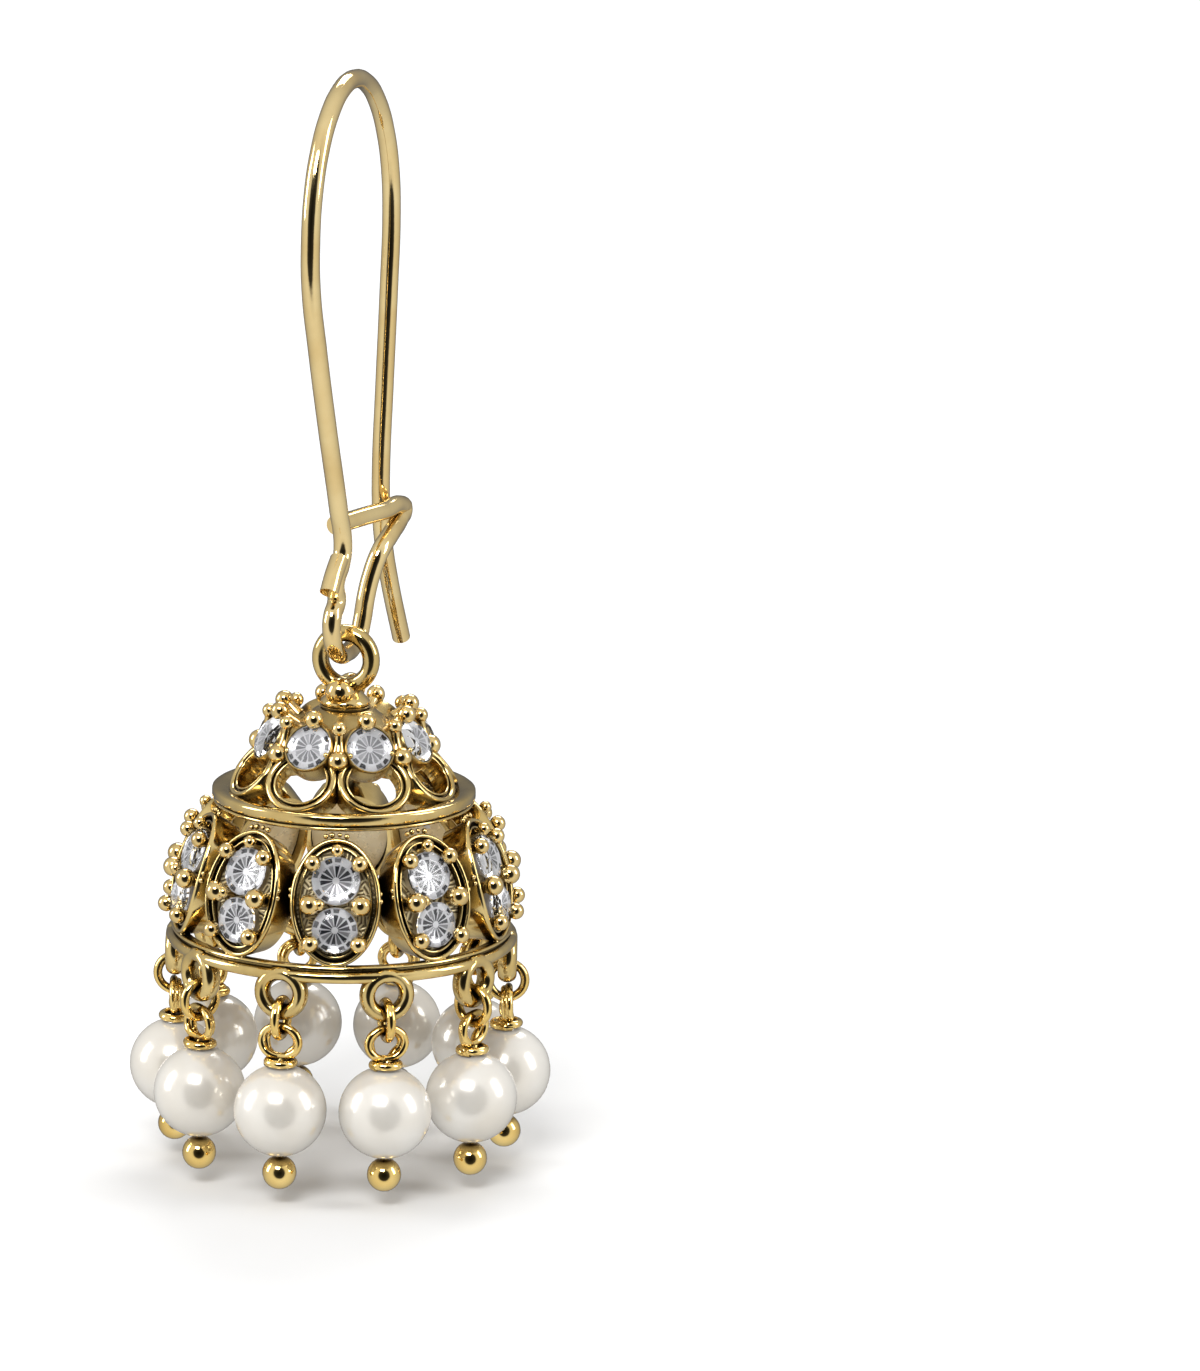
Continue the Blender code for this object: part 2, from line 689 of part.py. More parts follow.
def pearl_mesh():
    """Pearl drilled through along Z, its middle at the origin."""
    edge = math.asin(PEARL_BORE / PEARL_WIDTH)
    bands = PEARL_SIDES // 2
    section = []
    for i in range(bands):
        a = edge + (math.pi - 2 * edge) * i / (bands - 1)
        section.append((PEARL_WIDTH / 2 * math.sin(a), PEARL_WIDTH / 2 * math.cos(a)))
    return screwed(section, PEARL_SIDES)


def head_pin_mesh():
    """Ball-ended pin through the pearl, bent to an eye above it."""
    eye_points = ring_points((EYE_WIDTH - PIN_WIRE) / 2, (EYE_HEIGHT - PIN_WIRE) / 2, LINK_STEPS)
    eye = tube(eye_points, PIN_WIRE, 1, closed=True)
    eye.transform(Matrix.Translation((0, 0, PEARL_CENTRE - EYE_CENTRE))
                  @ Matrix.Rotation(math.pi / 2, 4, "X"))
    shank = bmesh.new()
    add_post(shank, (PIN_WIRE, PIN_WIRE), Vector((0, 0, PEARL_CENTRE - BALL_CENTRE)),
             Vector((0, 0, PEARL_CENTRE - EYE_TOP - EYE_HEIGHT + PIN_WIRE / 2)), PIN_SIDES)
    ball = bmesh.new()
    add_ball(ball, BALL_WIDTH, Matrix.Translation((0, 0, PEARL_CENTRE - BALL_CENTRE)), BALL_SIDES)
    return fused("head_pin", [as_mesh(shank, "shank"), as_mesh(ball, "ball"), eye])


def jump_ring_mesh():
    """Jump ring across the rim, its middle at the origin."""
    radius = (JUMP_OUTER - JUMP_WIRE) / 2
    ring = tube(ring_points(radius, radius, LINK_STEPS), JUMP_WIRE, 1, closed=True)
    ring.transform(Matrix.Rotation(math.pi / 2, 4, "Y"))
    return ring


def place_part(group, parent, name, mesh, material, place=Matrix()):
    """Make one named object of a mesh, under a parent, with its finish."""
    part = bpy.data.objects.new(name, mesh)
    group.objects.link(part)
    if not mesh.materials:
        mesh.materials.append(material)
    if parent:
        part.parent = parent
    part.matrix_local = place
    return part


def build():
    """Build the earring."""
    clear_scene()
    finishes = make_materials()
    group = bpy.data.collections.new("jhumka_earring")
    bpy.context.scene.collection.children.link(group)
    place_part(group, None, "ear_hook", ear_hook_mesh(), finishes["bright_gold"])
    swing = bpy.data.objects.new("bell_swing", None)
    swing.location = (0, 0, -HOOK_REACH)
    group.objects.link(swing)
    place_part(group, swing, "bell", bell_mesh(), finishes["antique_gold"])
    stone = crown_stone_mesh()
    for i, angle in enumerate(crown_angles()):
        place_part(group, swing, f"crown_stone_{i + 1}", stone, finishes["crystal"],
                   stone_seat(angle))
    kinds = (
        ("jump_ring", jump_ring_mesh(), finishes["bright_gold"], JUMP_CENTRE),
        ("head_pin", head_pin_mesh(), finishes["bright_gold"], PEARL_CENTRE),
        ("pearl", pearl_mesh(), finishes["pearl"], PEARL_CENTRE),
    )
    for i, angle in enumerate(drop_angles()):
        for name, mesh, finish, centre in kinds:
            seat = turned(angle) @ Matrix.Translation((0, -DROP_RADIUS, -centre))
            place_part(group, swing, f"{name}_{i + 1}", mesh, finish, seat)


build()
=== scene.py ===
"""Looks of a jhumka earring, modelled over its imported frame.

The work is done on a bench where one unit is a millimetre. A finished piece is shrunk to
metres and seated on its body. The ear wire lies in the YZ plane with its front leg at -Y,
and an angle about Z is measured from -Y towards +X.
"""

import logging
import math
from collections.abc import Iterator, Sequence
from contextlib import contextmanager
from dataclasses import dataclass, field
from enum import Enum
from itertools import pairwise
from typing import ClassVar

import bmesh
import bpy
from mathutils import Matrix, Vector


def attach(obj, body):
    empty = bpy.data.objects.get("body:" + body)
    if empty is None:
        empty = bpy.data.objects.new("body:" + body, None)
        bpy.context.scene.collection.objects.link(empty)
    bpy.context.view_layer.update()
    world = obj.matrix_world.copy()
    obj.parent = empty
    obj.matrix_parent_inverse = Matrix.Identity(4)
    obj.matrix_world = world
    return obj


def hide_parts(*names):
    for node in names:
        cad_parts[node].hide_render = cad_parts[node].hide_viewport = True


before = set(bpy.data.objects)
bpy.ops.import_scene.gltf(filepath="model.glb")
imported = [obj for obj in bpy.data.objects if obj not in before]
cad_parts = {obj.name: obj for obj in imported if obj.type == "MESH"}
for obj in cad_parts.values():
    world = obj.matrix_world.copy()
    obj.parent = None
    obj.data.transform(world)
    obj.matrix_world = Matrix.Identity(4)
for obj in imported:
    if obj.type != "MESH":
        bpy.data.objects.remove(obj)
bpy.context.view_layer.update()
MM = 0.001
FULL_TURN = 2 * math.pi
MERGE = 0.0005
FACET = "facet"
OVAL_RADIUS = 5.0
SEAT_SHARE = 0.46
END_EASE = 0.08

Piece = bpy.types.Object
Colour = tuple[float, float, float]
Point = tuple[float, float, float]
Profile = list[tuple[float, float]]

log = logging.getLogger("jhumka")


class Body(Enum):
    """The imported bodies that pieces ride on."""

    HOOK = "hook"
    BELL = "bell"


def pick(piece: Piece) -> None:
    """Select one piece alone and make it active.

    Args:
        piece: The piece to work on.
    """
    bpy.ops.object.select_all(action="DESELECT")
    piece.select_set(True)
    bpy.context.view_layer.objects.active = piece


@contextmanager
def edited(piece: Piece, selection: str = "SELECT") -> Iterator[bmesh.types.BMesh]:
    """Hold a piece in edit mode.

    Args:
        piece: The piece to edit.
        selection: The first selection, as select_all takes it.

    Returns:
        The edit mesh, for choosing what an operator acts on.
    """
    pick(piece)
    bpy.ops.object.mode_set(mode="EDIT")
    bpy.ops.mesh.select_all(action=selection)
    try:
        yield bmesh.from_edit_mesh(piece.data)
    finally:
        bpy.ops.object.mode_set(mode="OBJECT")


def named(name: str) -> Piece:
    """Name the active piece.

    Args:
        name: The piece's name.

    Returns:
        The active piece.
    """
    piece = bpy.context.object
    piece.name = name
    piece.data.name = name
    return piece


def closed_up(piece: Piece) -> Piece:
    """Merge a piece's doubles, close its holes and turn its faces outwards.

    Args:
        piece: The piece to close.

    Returns:
        The same piece.
    """
    with edited(piece):
        bpy.ops.mesh.remove_doubles(threshold=MERGE)
        bpy.ops.mesh.fill_holes(sides=0)
        bpy.ops.mesh.select_all(action="SELECT")
        bpy.ops.mesh.normals_make_consistent(inside=False)
    return piece


def placed(piece: Piece, place: Matrix) -> Piece:
    """Move a piece and apply its place to its mesh.

    Args:
        piece: The piece to move.
        place: The move.

    Returns:
        The same piece.
    """
    pick(piece)
    piece.matrix_world = place @ piece.matrix_world
    bpy.ops.object.transform_apply(location=True, rotation=True, scale=True)
    return piece


def copied(piece: Piece, name: str, place: Matrix) -> Piece:
    """Copy a piece with a mesh of its own, and move the copy.

    Args:
        piece: The piece to copy.
        name: The copy's name.
        place: The copy's move.

    Returns:
        The copy.
    """
    pick(piece)
    bpy.ops.object.duplicate(linked=False)
    return placed(named(name), place)


def joined(pieces: Sequence[Piece], name: str) -> Piece:
    """Join pieces into one object.

    Args:
        pieces: The pieces to join.
        name: The joined piece's name.

    Returns:
        The joined piece.
    """
    bpy.ops.object.select_all(action="DESELECT")
    for piece in pieces:
        piece.select_set(True)
    bpy.context.view_layer.objects.active = pieces[0]
    if len(pieces) > 1:
        bpy.ops.object.join()
    return named(name)


def spent(*pieces: Piece) -> None:
    """Remove patterns that have been copied."""
    for piece in pieces:
        bpy.data.objects.remove(piece, do_unlink=True)


def repeated(piece: Piece, name: str, places: Sequence[Matrix]) -> Piece:
    """Copy a pattern to each place, join the copies and remove the pattern.

    Args:
        piece: The pattern.
        name: The joined piece's name.
        places: The copies' moves.

    Returns:
        The joined piece.
    """
    copies = [copied(piece, name, place) for place in places]
    spent(piece)
    return joined(copies, name)


def lathe(name: str, profile: Profile, steps: int, closed: bool = True) -> Piece:
    """Turn a profile about Z, from a single vertex drawn out along it.

    Args:
        name: The piece's name.
        profile: Radius and height of each point.
        steps: How many stations the full turn has.
        closed: True if the last point joins the first.

    Returns:
        The turned piece.
    """
    bpy.ops.object.select_all(action="DESELECT")
    bpy.ops.mesh.primitive_circle_add(vertices=3, radius=1.0)
    piece = named(name)
    with edited(piece) as work:
        bpy.ops.mesh.merge(type="CENTER")
        bpy.ops.transform.translate(value=(profile[0][0], 0, profile[0][1]))
        for here, there in pairwise(profile):
            step = (there[0] - here[0], 0, there[1] - here[1])
            bpy.ops.mesh.extrude_vertices_move(TRANSFORM_OT_translate={"value": step})
        if closed:
            ends = [Vector((radius, 0, level)) for radius, level in (profile[0], profile[-1])]
            for vert in work.verts:
                vert.select_set(min((vert.co - end).length for end in ends) < MERGE)
            work.select_flush(True)
            bmesh.update_edit_mesh(piece.data)
            bpy.ops.mesh.edge_face_add()
        bpy.ops.mesh.select_all(action="SELECT")
        bpy.ops.mesh.spin(steps=steps, angle=FULL_TURN, center=(0, 0, 0), axis=(0, 0, 1))
    return closed_up(piece)


def oval_section(middle: float, level: float, width: float, height: float,
                 count: int = 16) -> Profile:
    """Points of a round or oval section for a lathe.

    Args:
        middle: Radius of the section's middle.
        level: Height of its middle.
        width: Its size across.
        height: Its size along Z.
        count: How many points it has.

    Returns:
        The points.
    """
    angles = [FULL_TURN * i / count for i in range(count)]
    return [(middle + width / 2 * math.cos(a), level + height / 2 * math.sin(a)) for a in angles]


def cut_ring(name: str, radius: float, wire: float, gap: float, steps: int) -> Piece:
    """Round wire bent about Z to a ring that has a thin cut at +Y.

    Args:
        name: The ring's name.
        radius: Radius of the wire's middle line.
        wire: The wire's width.
        gap: Width of the cut.
        steps: How many stations the ring has.

    Returns:
        The ring.
    """
    bpy.ops.object.select_all(action="DESELECT")
    bpy.ops.mesh.primitive_circle_add(vertices=14, radius=wire / 2, fill_type="NGON",
                                      location=(0, radius, 0), rotation=(0, math.pi / 2, 0))
    piece = named(name)
    pick(piece)
    bpy.ops.object.transform_apply(location=True, rotation=True, scale=True)
    slit = gap / radius
    with edited(piece):
        bpy.ops.transform.rotate(value=-slit / 2, orient_axis="Z", center_override=(0, 0, 0))
        bpy.ops.mesh.spin(steps=steps, angle=FULL_TURN - slit, center=(0, 0, 0), axis=(0, 0, 1))
        bpy.ops.mesh.select_all(action="SELECT")
        bpy.ops.mesh.normals_make_consistent(inside=False)
    return piece


def bent_wire(name: str, route: Sequence[Point], width: float, detail: int = 12) -> Piece:
    """Round wire along a smooth route, its cut ends slightly eased.

    Args:
        name: The wire's name.
        route: Points that the wire's middle line passes through.
        width: The wire's width.
        detail: Stations between two points.

    Returns:
        The wire as a mesh.
    """
    bpy.ops.object.select_all(action="DESELECT")
    bpy.ops.curve.primitive_bezier_curve_add()
    bpy.ops.object.mode_set(mode="EDIT")
    bpy.ops.curve.select_all(action="SELECT")
    bpy.ops.curve.delete(type="VERT")
    for point in route:
        bpy.ops.curve.vertex_add(location=point)
    bpy.ops.curve.select_all(action="SELECT")
    bpy.ops.curve.handle_type_set(type="AUTOMATIC")
    bpy.ops.object.mode_set(mode="OBJECT")
    curve = bpy.context.object.data
    curve.dimensions = "3D"
    curve.resolution_u = detail
    curve.bevel_depth = width / 2
    curve.bevel_resolution = 6
    curve.use_fill_caps = True
    bpy.ops.object.convert(target="MESH")
    piece = closed_up(named(name))
    with edited(piece, "DESELECT") as work:
        for face in work.faces:
            face.select_set(len(face.verts) > 4)
        bmesh.update_edit_mesh(piece.data)
        bpy.ops.mesh.bevel(offset=width * END_EASE, segments=2, affect="EDGES")
    return piece


def ball(name: str, width: float, place: Matrix, segments: int = 20) -> Piece:
    """Ball with a flattened seat on its lower side.

    Args:
        name: The ball's name.
        width: The ball's width.
        place: Frame of its middle, with z away from its seat.
        segments: Sides round its middle.

    Returns:
        The ball.
    """
    bpy.ops.object.select_all(action="DESELECT")
    bpy.ops.mesh.primitive_uv_sphere_add(segments=segments, ring_count=segments // 2,
                                         radius=width / 2)
    piece = named(name)
    with edited(piece):
        bpy.ops.mesh.bisect(plane_co=(0, 0, -SEAT_SHARE * width), plane_no=(0, 0, -1),
                            clear_outer=True, use_fill=True)
    return placed(piece, place)


def post(name: str, rows: Profile, start: Vector, end: Vector, steps: int = 14) -> Piece:
    """Turned post between two points.

    Args:
        name: The post's name.
        rows: Radius and share of the way along, from the start to the end.
        start: The post's foot.
        end: Its head.
        steps: Sides round it.

    Returns:
        The post.
    """
    span = end - start
    profile = [(0.0, 0.0)] + [(radius, share * span.length) for radius, share in rows]
    profile.append((0.0, span.length))
    piece = lathe(name, profile, steps, closed=False)
    turn = span.to_track_quat("Z", "Y").to_matrix().to_4x4()
    return placed(piece, Matrix.Translation(start) @ turn)


def oval_about(piece: Piece, half_width: float, half_length: float) -> None:
    """Turn a ring of OVAL_RADIUS made round Z to an oval, keeping its section's widths.

    Args:
        piece: The ring.
        half_width: The oval's half size along X.
        half_length: The oval's half size along Y.
    """
    for vert in piece.data.vertices:
        flat = math.hypot(vert.co.x, vert.co.y)
        inward = OVAL_RADIUS - flat
        vert.co.x *= (half_width - inward) / flat
        vert.co.y *= (half_length - inward) / flat


def trimmed(piece: Piece, place: Point, normal: Point) -> Piece:
    """Cut a piece across and close the cut.

    Args:
        piece: The piece to cut.
        place: A point of the cut.
        normal: Direction of the part that goes.

    Returns:
        The part that stays.
    """
    with edited(piece):
        bpy.ops.mesh.bisect(plane_co=place, plane_no=normal, clear_outer=True, use_fill=True)
    return closed_up(piece)


def bored(piece: Piece, cutter: Piece) -> Piece:
    """Cut one piece out of another.

    Args:
        piece: The piece to cut.
        cutter: The piece that is taken out, and goes.

    Returns:
        The cut piece.
    """
    pick(piece)
    cut = piece.modifiers.new("bore", "BOOLEAN")
    cut.operation = "DIFFERENCE"
    cut.solver = "EXACT"
    cut.object = cutter
    bpy.ops.object.modifier_apply(modifier=cut.name)
    spent(cutter)
    return piece


@dataclass
class NodeDesk:
    """The node tree of a material or a world, with its shader at hand."""

    owner: bpy.types.Material | bpy.types.World
    shader: bpy.types.Node = field(init=False)

    def __post_init__(self) -> None:
        """Find the shader that the new tree starts with."""
        self.owner.use_nodes = True
        kinds = ("BSDF_PRINCIPLED", "BACKGROUND")
        self.shader = [n for n in self.owner.node_tree.nodes if n.type in kinds][0]

    def add(self, kind: str, **values: object) -> bpy.types.Node:
        """Add a node and set its sockets and settings.

        Args:
            kind: The node's type.
            values: Settings by name, or sockets by their label with spaces as _.

        Returns:
            The node.
        """
        node = self.owner.node_tree.nodes.new(kind)
        for key, value in values.items():
            if hasattr(node, key):
                setattr(node, key, value)
            else:
                node.inputs[key.replace("_", " ")].default_value = value
        return node

    def wire(self, source: bpy.types.NodeSocket, target: bpy.types.NodeSocket) -> None:
        """Link two sockets.

        Args:
            source: An output.
            target: An input.
        """
        self.owner.node_tree.links.new(source, target)

    def sum(self, operation: str, first: bpy.types.NodeSocket | float,
            second: bpy.types.NodeSocket | float = 0.0) -> bpy.types.NodeSocket:
        """Work a sum.

        Args:
            operation: The Math node's operation.
            first: A number or a socket.
            second: A number or a socket.

        Returns:
            The result.
        """
        node = self.add("ShaderNodeMath", operation=operation)
        for socket, value in zip(node.inputs, (first, second)):
            if isinstance(value, (int, float)):
                socket.default_value = value
            else:
                self.wire(value, socket)
        return node.outputs[0]

    def noise(self, scale: float, detail: float = 3.0) -> bpy.types.NodeSocket:
        """Add a noise on Object coordinates.

        Args:
            scale: Waves to a metre.
            detail: Octaves.

        Returns:
            The noise's value.
        """
        place = self.add("ShaderNodeTexCoord")
        noise = self.add("ShaderNodeTexNoise", Scale=scale, Detail=detail)
        self.wire(place.outputs["Object"], noise.inputs["Vector"])
        return noise.outputs["Fac"]

    def span(self, value: bpy.types.NodeSocket, low: float, high: float,
             start: float = 0.0, end: float = 1.0) -> bpy.types.NodeSocket:
        """Map a value from one span to another.

        Args:
            value: The value.
            low: Result at the start.
            high: Result at the end.
            start: The value that gives the low result.
            end: The value that gives the high result.

        Returns:
            The mapped value.
        """
        node = self.add("ShaderNodeMapRange")
        for label, number in (("From Min", start), ("From Max", end), ("To Min", low),
                              ("To Max", high)):
            node.inputs[label].default_value = number
        self.wire(value, node.inputs["Value"])
        return node.outputs["Result"]

    def mix(self, share: bpy.types.NodeSocket, first: Colour | bpy.types.NodeSocket,
            second: Colour | bpy.types.NodeSocket) -> bpy.types.NodeSocket:
        """Mix two colours.

        Args:
            share: How much of the second shows.
            first: A colour or a socket.
            second: A colour or a socket.

        Returns:
            The mixed colour.
        """
        node = self.add("ShaderNodeMix", data_type="RGBA")
        self.wire(share, node.inputs["Factor"])
        for label, colour in (("A", first), ("B", second)):
            socket = [s for s in node.inputs if s.name == label and s.type == "RGBA"][0]
            if isinstance(colour, tuple):
                socket.default_value = (*colour, 1.0)
            else:
                self.wire(colour, socket)
        return [s for s in node.outputs if s.type == "RGBA"][0]

    def bump(self, height: bpy.types.NodeSocket, depth: float, strength: float = 1.0) -> None:
        """Bump the surface.

        Args:
            height: The height map.
            depth: Its full height in millimetres.
            strength: How much of it shows.
        """
        node = self.add("ShaderNodeBump", Strength=strength, Distance=depth * MM)
        self.wire(height, node.inputs["Height"])
        self.wire(node.outputs["Normal"], self.shader.inputs["Normal"])


@dataclass(frozen=True)
class Finish:
    """A finish, and the record's material slot that it belongs to."""

    name: str
    slot: str

    def material(self) -> bpy.types.Material:
        """Make the finish's material.

        Returns:
            The material.
        """
        desk = NodeDesk(bpy.data.materials.new(self.name))
        self.dress(desk)
        return desk.owner

    def dress(self, desk: NodeDesk) -> None:
        """Set up the material's nodes on its desk."""
        raise NotImplementedError


@dataclass(frozen=True)
class Gold(Finish):
    """Plated metal, polished where it is proud, with shade painted into its recesses."""

    plate: Colour
    warm: Colour
    # Colour of the shade painted into recesses and between parts; a hatched plate's strokes darken
    # towards it too.
    shade_and_stroke_colour: Colour
    roughness: float
    # reach: how far the painted shade's occlusion test looks, in millimetres; depth: how much of
    # the painted shade shows in a full recess.
    reach: float
    depth: float
    hatch: float = 0.0
    metal: float = 1.0
    tone_waves: ClassVar[float] = 420.0
    wear_waves: ClassVar[float] = 1500.0
    grain_waves: ClassVar[float] = 2600.0
    grain_depth: ClassVar[float] = 0.01
    dulling: ClassVar[float] = 0.22
    cell_waves: ClassVar[float] = 1900.0
    stroke_waves: ClassVar[float] = 1500.0

    def dress(self, desk: NodeDesk) -> None:
        """Set up the plate's colour, the shade painted into its recesses, its wear and grain.

        Args:
            desk: The material's desk.
        """
        desk.shader.inputs["Metallic"].default_value = self.metal
        tone = desk.mix(desk.span(desk.noise(self.tone_waves), 0.0, 1.0, 0.35, 0.65),
                        self.plate, self.warm)
        # Painted shade: ambient occlusion darkens the colour towards the shade colour in recesses
        # and between parts.
        shade = desk.add("ShaderNodeAmbientOcclusion", Distance=self.reach * MM, samples=8)
        shade_and_stroke_mask = desk.span(shade.outputs["AO"], self.depth, 0.0, 0.2, 0.8)
        if self.hatch:
            strokes = self.strokes(desk)
            shade_and_stroke_mask = desk.sum("MAXIMUM", shade_and_stroke_mask, desk.span(strokes, 0.95, 0.0, 0.3, 0.6))
            desk.bump(strokes, self.hatch)
        else:
            desk.bump(desk.noise(self.grain_waves, 5.0), self.grain_depth, 0.5)
        # The tone is mixed towards the painted shade in recesses, and on hatched plates along the
        # strokes.
        desk.wire(desk.mix(shade_and_stroke_mask, tone, self.shade_and_stroke_colour), desk.shader.inputs["Base Color"])
        worn = desk.span(desk.noise(self.wear_waves, 4.0), self.roughness * 0.8,
                         self.roughness * 1.35, 0.3, 0.7)
        dull = desk.sum("ADD", worn, desk.sum("MULTIPLY", shade_and_stroke_mask, self.dulling))
        desk.wire(dull, desk.shader.inputs["Roughness"])

    @staticmethod
    def strokes(desk: NodeDesk) -> bpy.types.NodeSocket:
        """Short graver's strokes that cross a plate.

        Args:
            desk: The material's desk.

        Returns:
            Height of the strokes.
        """
        place = desk.add("ShaderNodeTexCoord")
        cells = desk.add("ShaderNodeTexVoronoi", Scale=Gold.cell_waves)
        turn = desk.add("ShaderNodeVectorRotate", rotation_type="Y_AXIS")
        waves = desk.add("ShaderNodeTexWave", Scale=Gold.stroke_waves, Distortion=1.5, Detail=1.0)
        desk.wire(place.outputs["Object"], cells.inputs["Vector"])
        desk.wire(place.outputs["Object"], turn.inputs["Vector"])
        split = desk.add("ShaderNodeSeparateColor")
        desk.wire(cells.outputs["Color"], split.inputs[0])
        desk.wire(desk.sum("MULTIPLY", split.outputs[0], FULL_TURN), turn.inputs["Angle"])
        desk.wire(turn.outputs["Vector"], waves.inputs["Vector"])
        return waves.outputs["Fac"]


@dataclass(frozen=True)
class Pearl(Finish):
    """Nacre: a cream body under a soft, mirror-like lustre, with a faint painted glow of its own.
    """

    body: Colour
    glow: Colour
    roughness: float
    lustre: float
    # Painted glow: the pearl gives off a little cream light everywhere, though it is no lamp.
    painted_glow: float = 0.09
    painted_glow_tint: Colour = (1.0, 0.93, 0.81)
    cloud_waves: ClassVar[float] = 260.0
    skin_waves: ClassVar[float] = 1400.0
    skin_depth: ClassVar[float] = 0.008

    def dress(self, desk: NodeDesk) -> None:
        """Set up the nacre's clouds, lustre, coat and painted glow.

        Args:
            desk: The material's desk.
        """
        clouds = desk.span(desk.noise(self.cloud_waves, 2.0), 0.0, 1.0, 0.35, 0.65)
        desk.wire(desk.mix(clouds, self.body, self.glow), desk.shader.inputs["Base Color"])
        shader = desk.shader.inputs
        shader["Metallic"].default_value = self.lustre
        # Painted glow, in a cream tint.
        shader["Emission Color"].default_value = (*self.painted_glow_tint, 1.0)
        shader["Emission Strength"].default_value = self.painted_glow
        shader["Specular IOR Level"].default_value = 0.6
        shader["Coat Weight"].default_value = 0.25
        shader["Coat Roughness"].default_value = 0.1
        desk.wire(desk.span(desk.noise(900.0), self.roughness * 0.85, self.roughness * 1.15),
                  shader["Roughness"])
        desk.bump(desk.noise(self.skin_waves, 3.0), self.skin_depth, 0.3)


@dataclass(frozen=True)
class Crystal(Finish):
    """Clear cut stone."""

    tint: Colour
    refraction: float

    def dress(self, desk: NodeDesk) -> None:
        """Set up the clear stone.

        Args:
            desk: The material's desk.
        """
        shader = desk.shader.inputs
        shader["Base Color"].default_value = (*self.tint, 1.0)
        shader["Transmission Weight"].default_value = 1.0
        shader["IOR"].default_value = self.refraction
        desk.wire(desk.span(desk.noise(900.0), 0.0, 0.02), shader["Roughness"])


@dataclass(frozen=True)
class Foil(Finish):
    """Silver backing on a stone's lower facets, each painted lighter or darker as a painted
    reflection, with a faint painted glow.
    """

    # silver and shade: the light and the dark of the painted reflections marked on the facets.
    silver: Colour
    shade: Colour
    roughness: float
    # Strength of a painted glow that each facet gives off in its own painted brightness.
    painted_sparkle: float = 0.08

    def dress(self, desk: NodeDesk) -> None:
        """Set up the silver, whose painted reflection is marked on each face, and its painted glow.

        Args:
            desk: The material's desk.
        """
        desk.shader.inputs["Metallic"].default_value = 0.3
        ray = desk.add("ShaderNodeAttribute", attribute_name=FACET)
        # Painted reflection: each face takes light or dark by its marked value.
        facet = desk.mix(ray.outputs["Fac"], self.shade, self.silver)
        desk.wire(facet, desk.shader.inputs["Base Color"])
        # Painted glow in the same light and dark as the painted reflections.
        desk.wire(facet, desk.shader.inputs["Emission Color"])
        desk.shader.inputs["Emission Strength"].default_value = self.painted_sparkle
        desk.wire(desk.span(desk.noise(2400.0), self.roughness * 0.7, self.roughness * 1.3),
                  desk.shader.inputs["Roughness"])


# Each gold gives plate and warm tones, its painted shade colour, roughness, then the painted
# shade's reach and depth.
WIRE_GOLD = Gold("wire_gold", "wire_gold", (0.84, 0.66, 0.33), (0.76, 0.56, 0.25),
                 (0.20, 0.12, 0.035), 0.075, 0.8, 0.6)
ANTIQUE_GOLD = Gold("antique_gold", "antique_gold", (0.75, 0.57, 0.245), (0.59, 0.425, 0.16),
                    (0.045, 0.029, 0.011), 0.09, 1.5, 1.1)
GRAIN_GOLD = Gold("grain_gold", "antique_gold", (0.80, 0.60, 0.27), (0.68, 0.49, 0.20),
                  (0.06, 0.036, 0.012), 0.085, 0.42, 0.75)
BRUSHED_GOLD = Gold("brushed_gold", "antique_gold", (0.56, 0.41, 0.17), (0.38, 0.27, 0.10),
                    (0.050, 0.032, 0.011), 0.2, 1.2, 1.0)
HATCHED_GOLD = Gold("hatched_gold", "antique_gold", (0.76, 0.65, 0.40), (0.58, 0.48, 0.27),
                    (0.10, 0.072, 0.033), 0.33, 0.35, 0.75, hatch=0.05, metal=0.7)
LINING_GOLD = Gold("lining_gold", "antique_gold", (0.95, 0.83, 0.58), (0.84, 0.66, 0.36),
                   (0.50, 0.34, 0.13), 0.26, 0.8, 0.4, metal=0.35)
BRIGHT_GOLD = Gold("bright_gold", "bright_gold", (0.88, 0.65, 0.25), (0.78, 0.53, 0.16),
                   (0.10, 0.055, 0.012), 0.08, 0.9, 1.0)
NACRE = Pearl("nacre", "pearl", (0.56, 0.525, 0.465), (0.62, 0.60, 0.56), 0.2, 0.34)
CLEAR_STONE = Crystal("clear_stone", "crystal", (1.0, 1.0, 1.0), 1.32)
# The foil's painted reflections run from a light silver to near black.
STONE_FOIL = Foil("stone_foil", "crystal", (0.62, 0.62, 0.64), (0.008, 0.008, 0.012), 0.17)

_dressed: dict[str, bpy.types.Material] = {}


def dressed(finish: Finish) -> bpy.types.Material:
    """Give the material of a finish, made on its first use.

    Args:
        finish: The finish.

    Returns:
        Its material.
    """
    if finish.name not in _dressed:
        _dressed[finish.name] = finish.material()
    return _dressed[finish.name]


def seated(piece: Piece, finish: Finish, body: Body, stands_for: Sequence[str] = (),
           crease: float | None = 38.0) -> Piece:
    """Shrink a finished piece to metres, dress it and let it ride on its body.

    Args:
        piece: The piece, in millimetres.
        finish: Its finish.
        body: The body that it rides on.
        stands_for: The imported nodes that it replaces.
        crease: Angle in degrees past which an edge stays sharp, or None for flat facets.

    Returns:
        The seated piece.
    """
    placed(piece, Matrix.Scale(MM, 4))
    if crease is None:
        bpy.ops.object.shade_flat()
    else:
        bpy.ops.object.shade_smooth_by_angle(angle=math.radians(crease))
    piece.data.materials.clear()
    piece.data.materials.append(dressed(finish))
    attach(piece, body.value)
    if stands_for:
        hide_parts(*stands_for)
    log.info("%s: %d faces, %s", piece.name, len(piece.data.polygons), finish.name)
    return piece


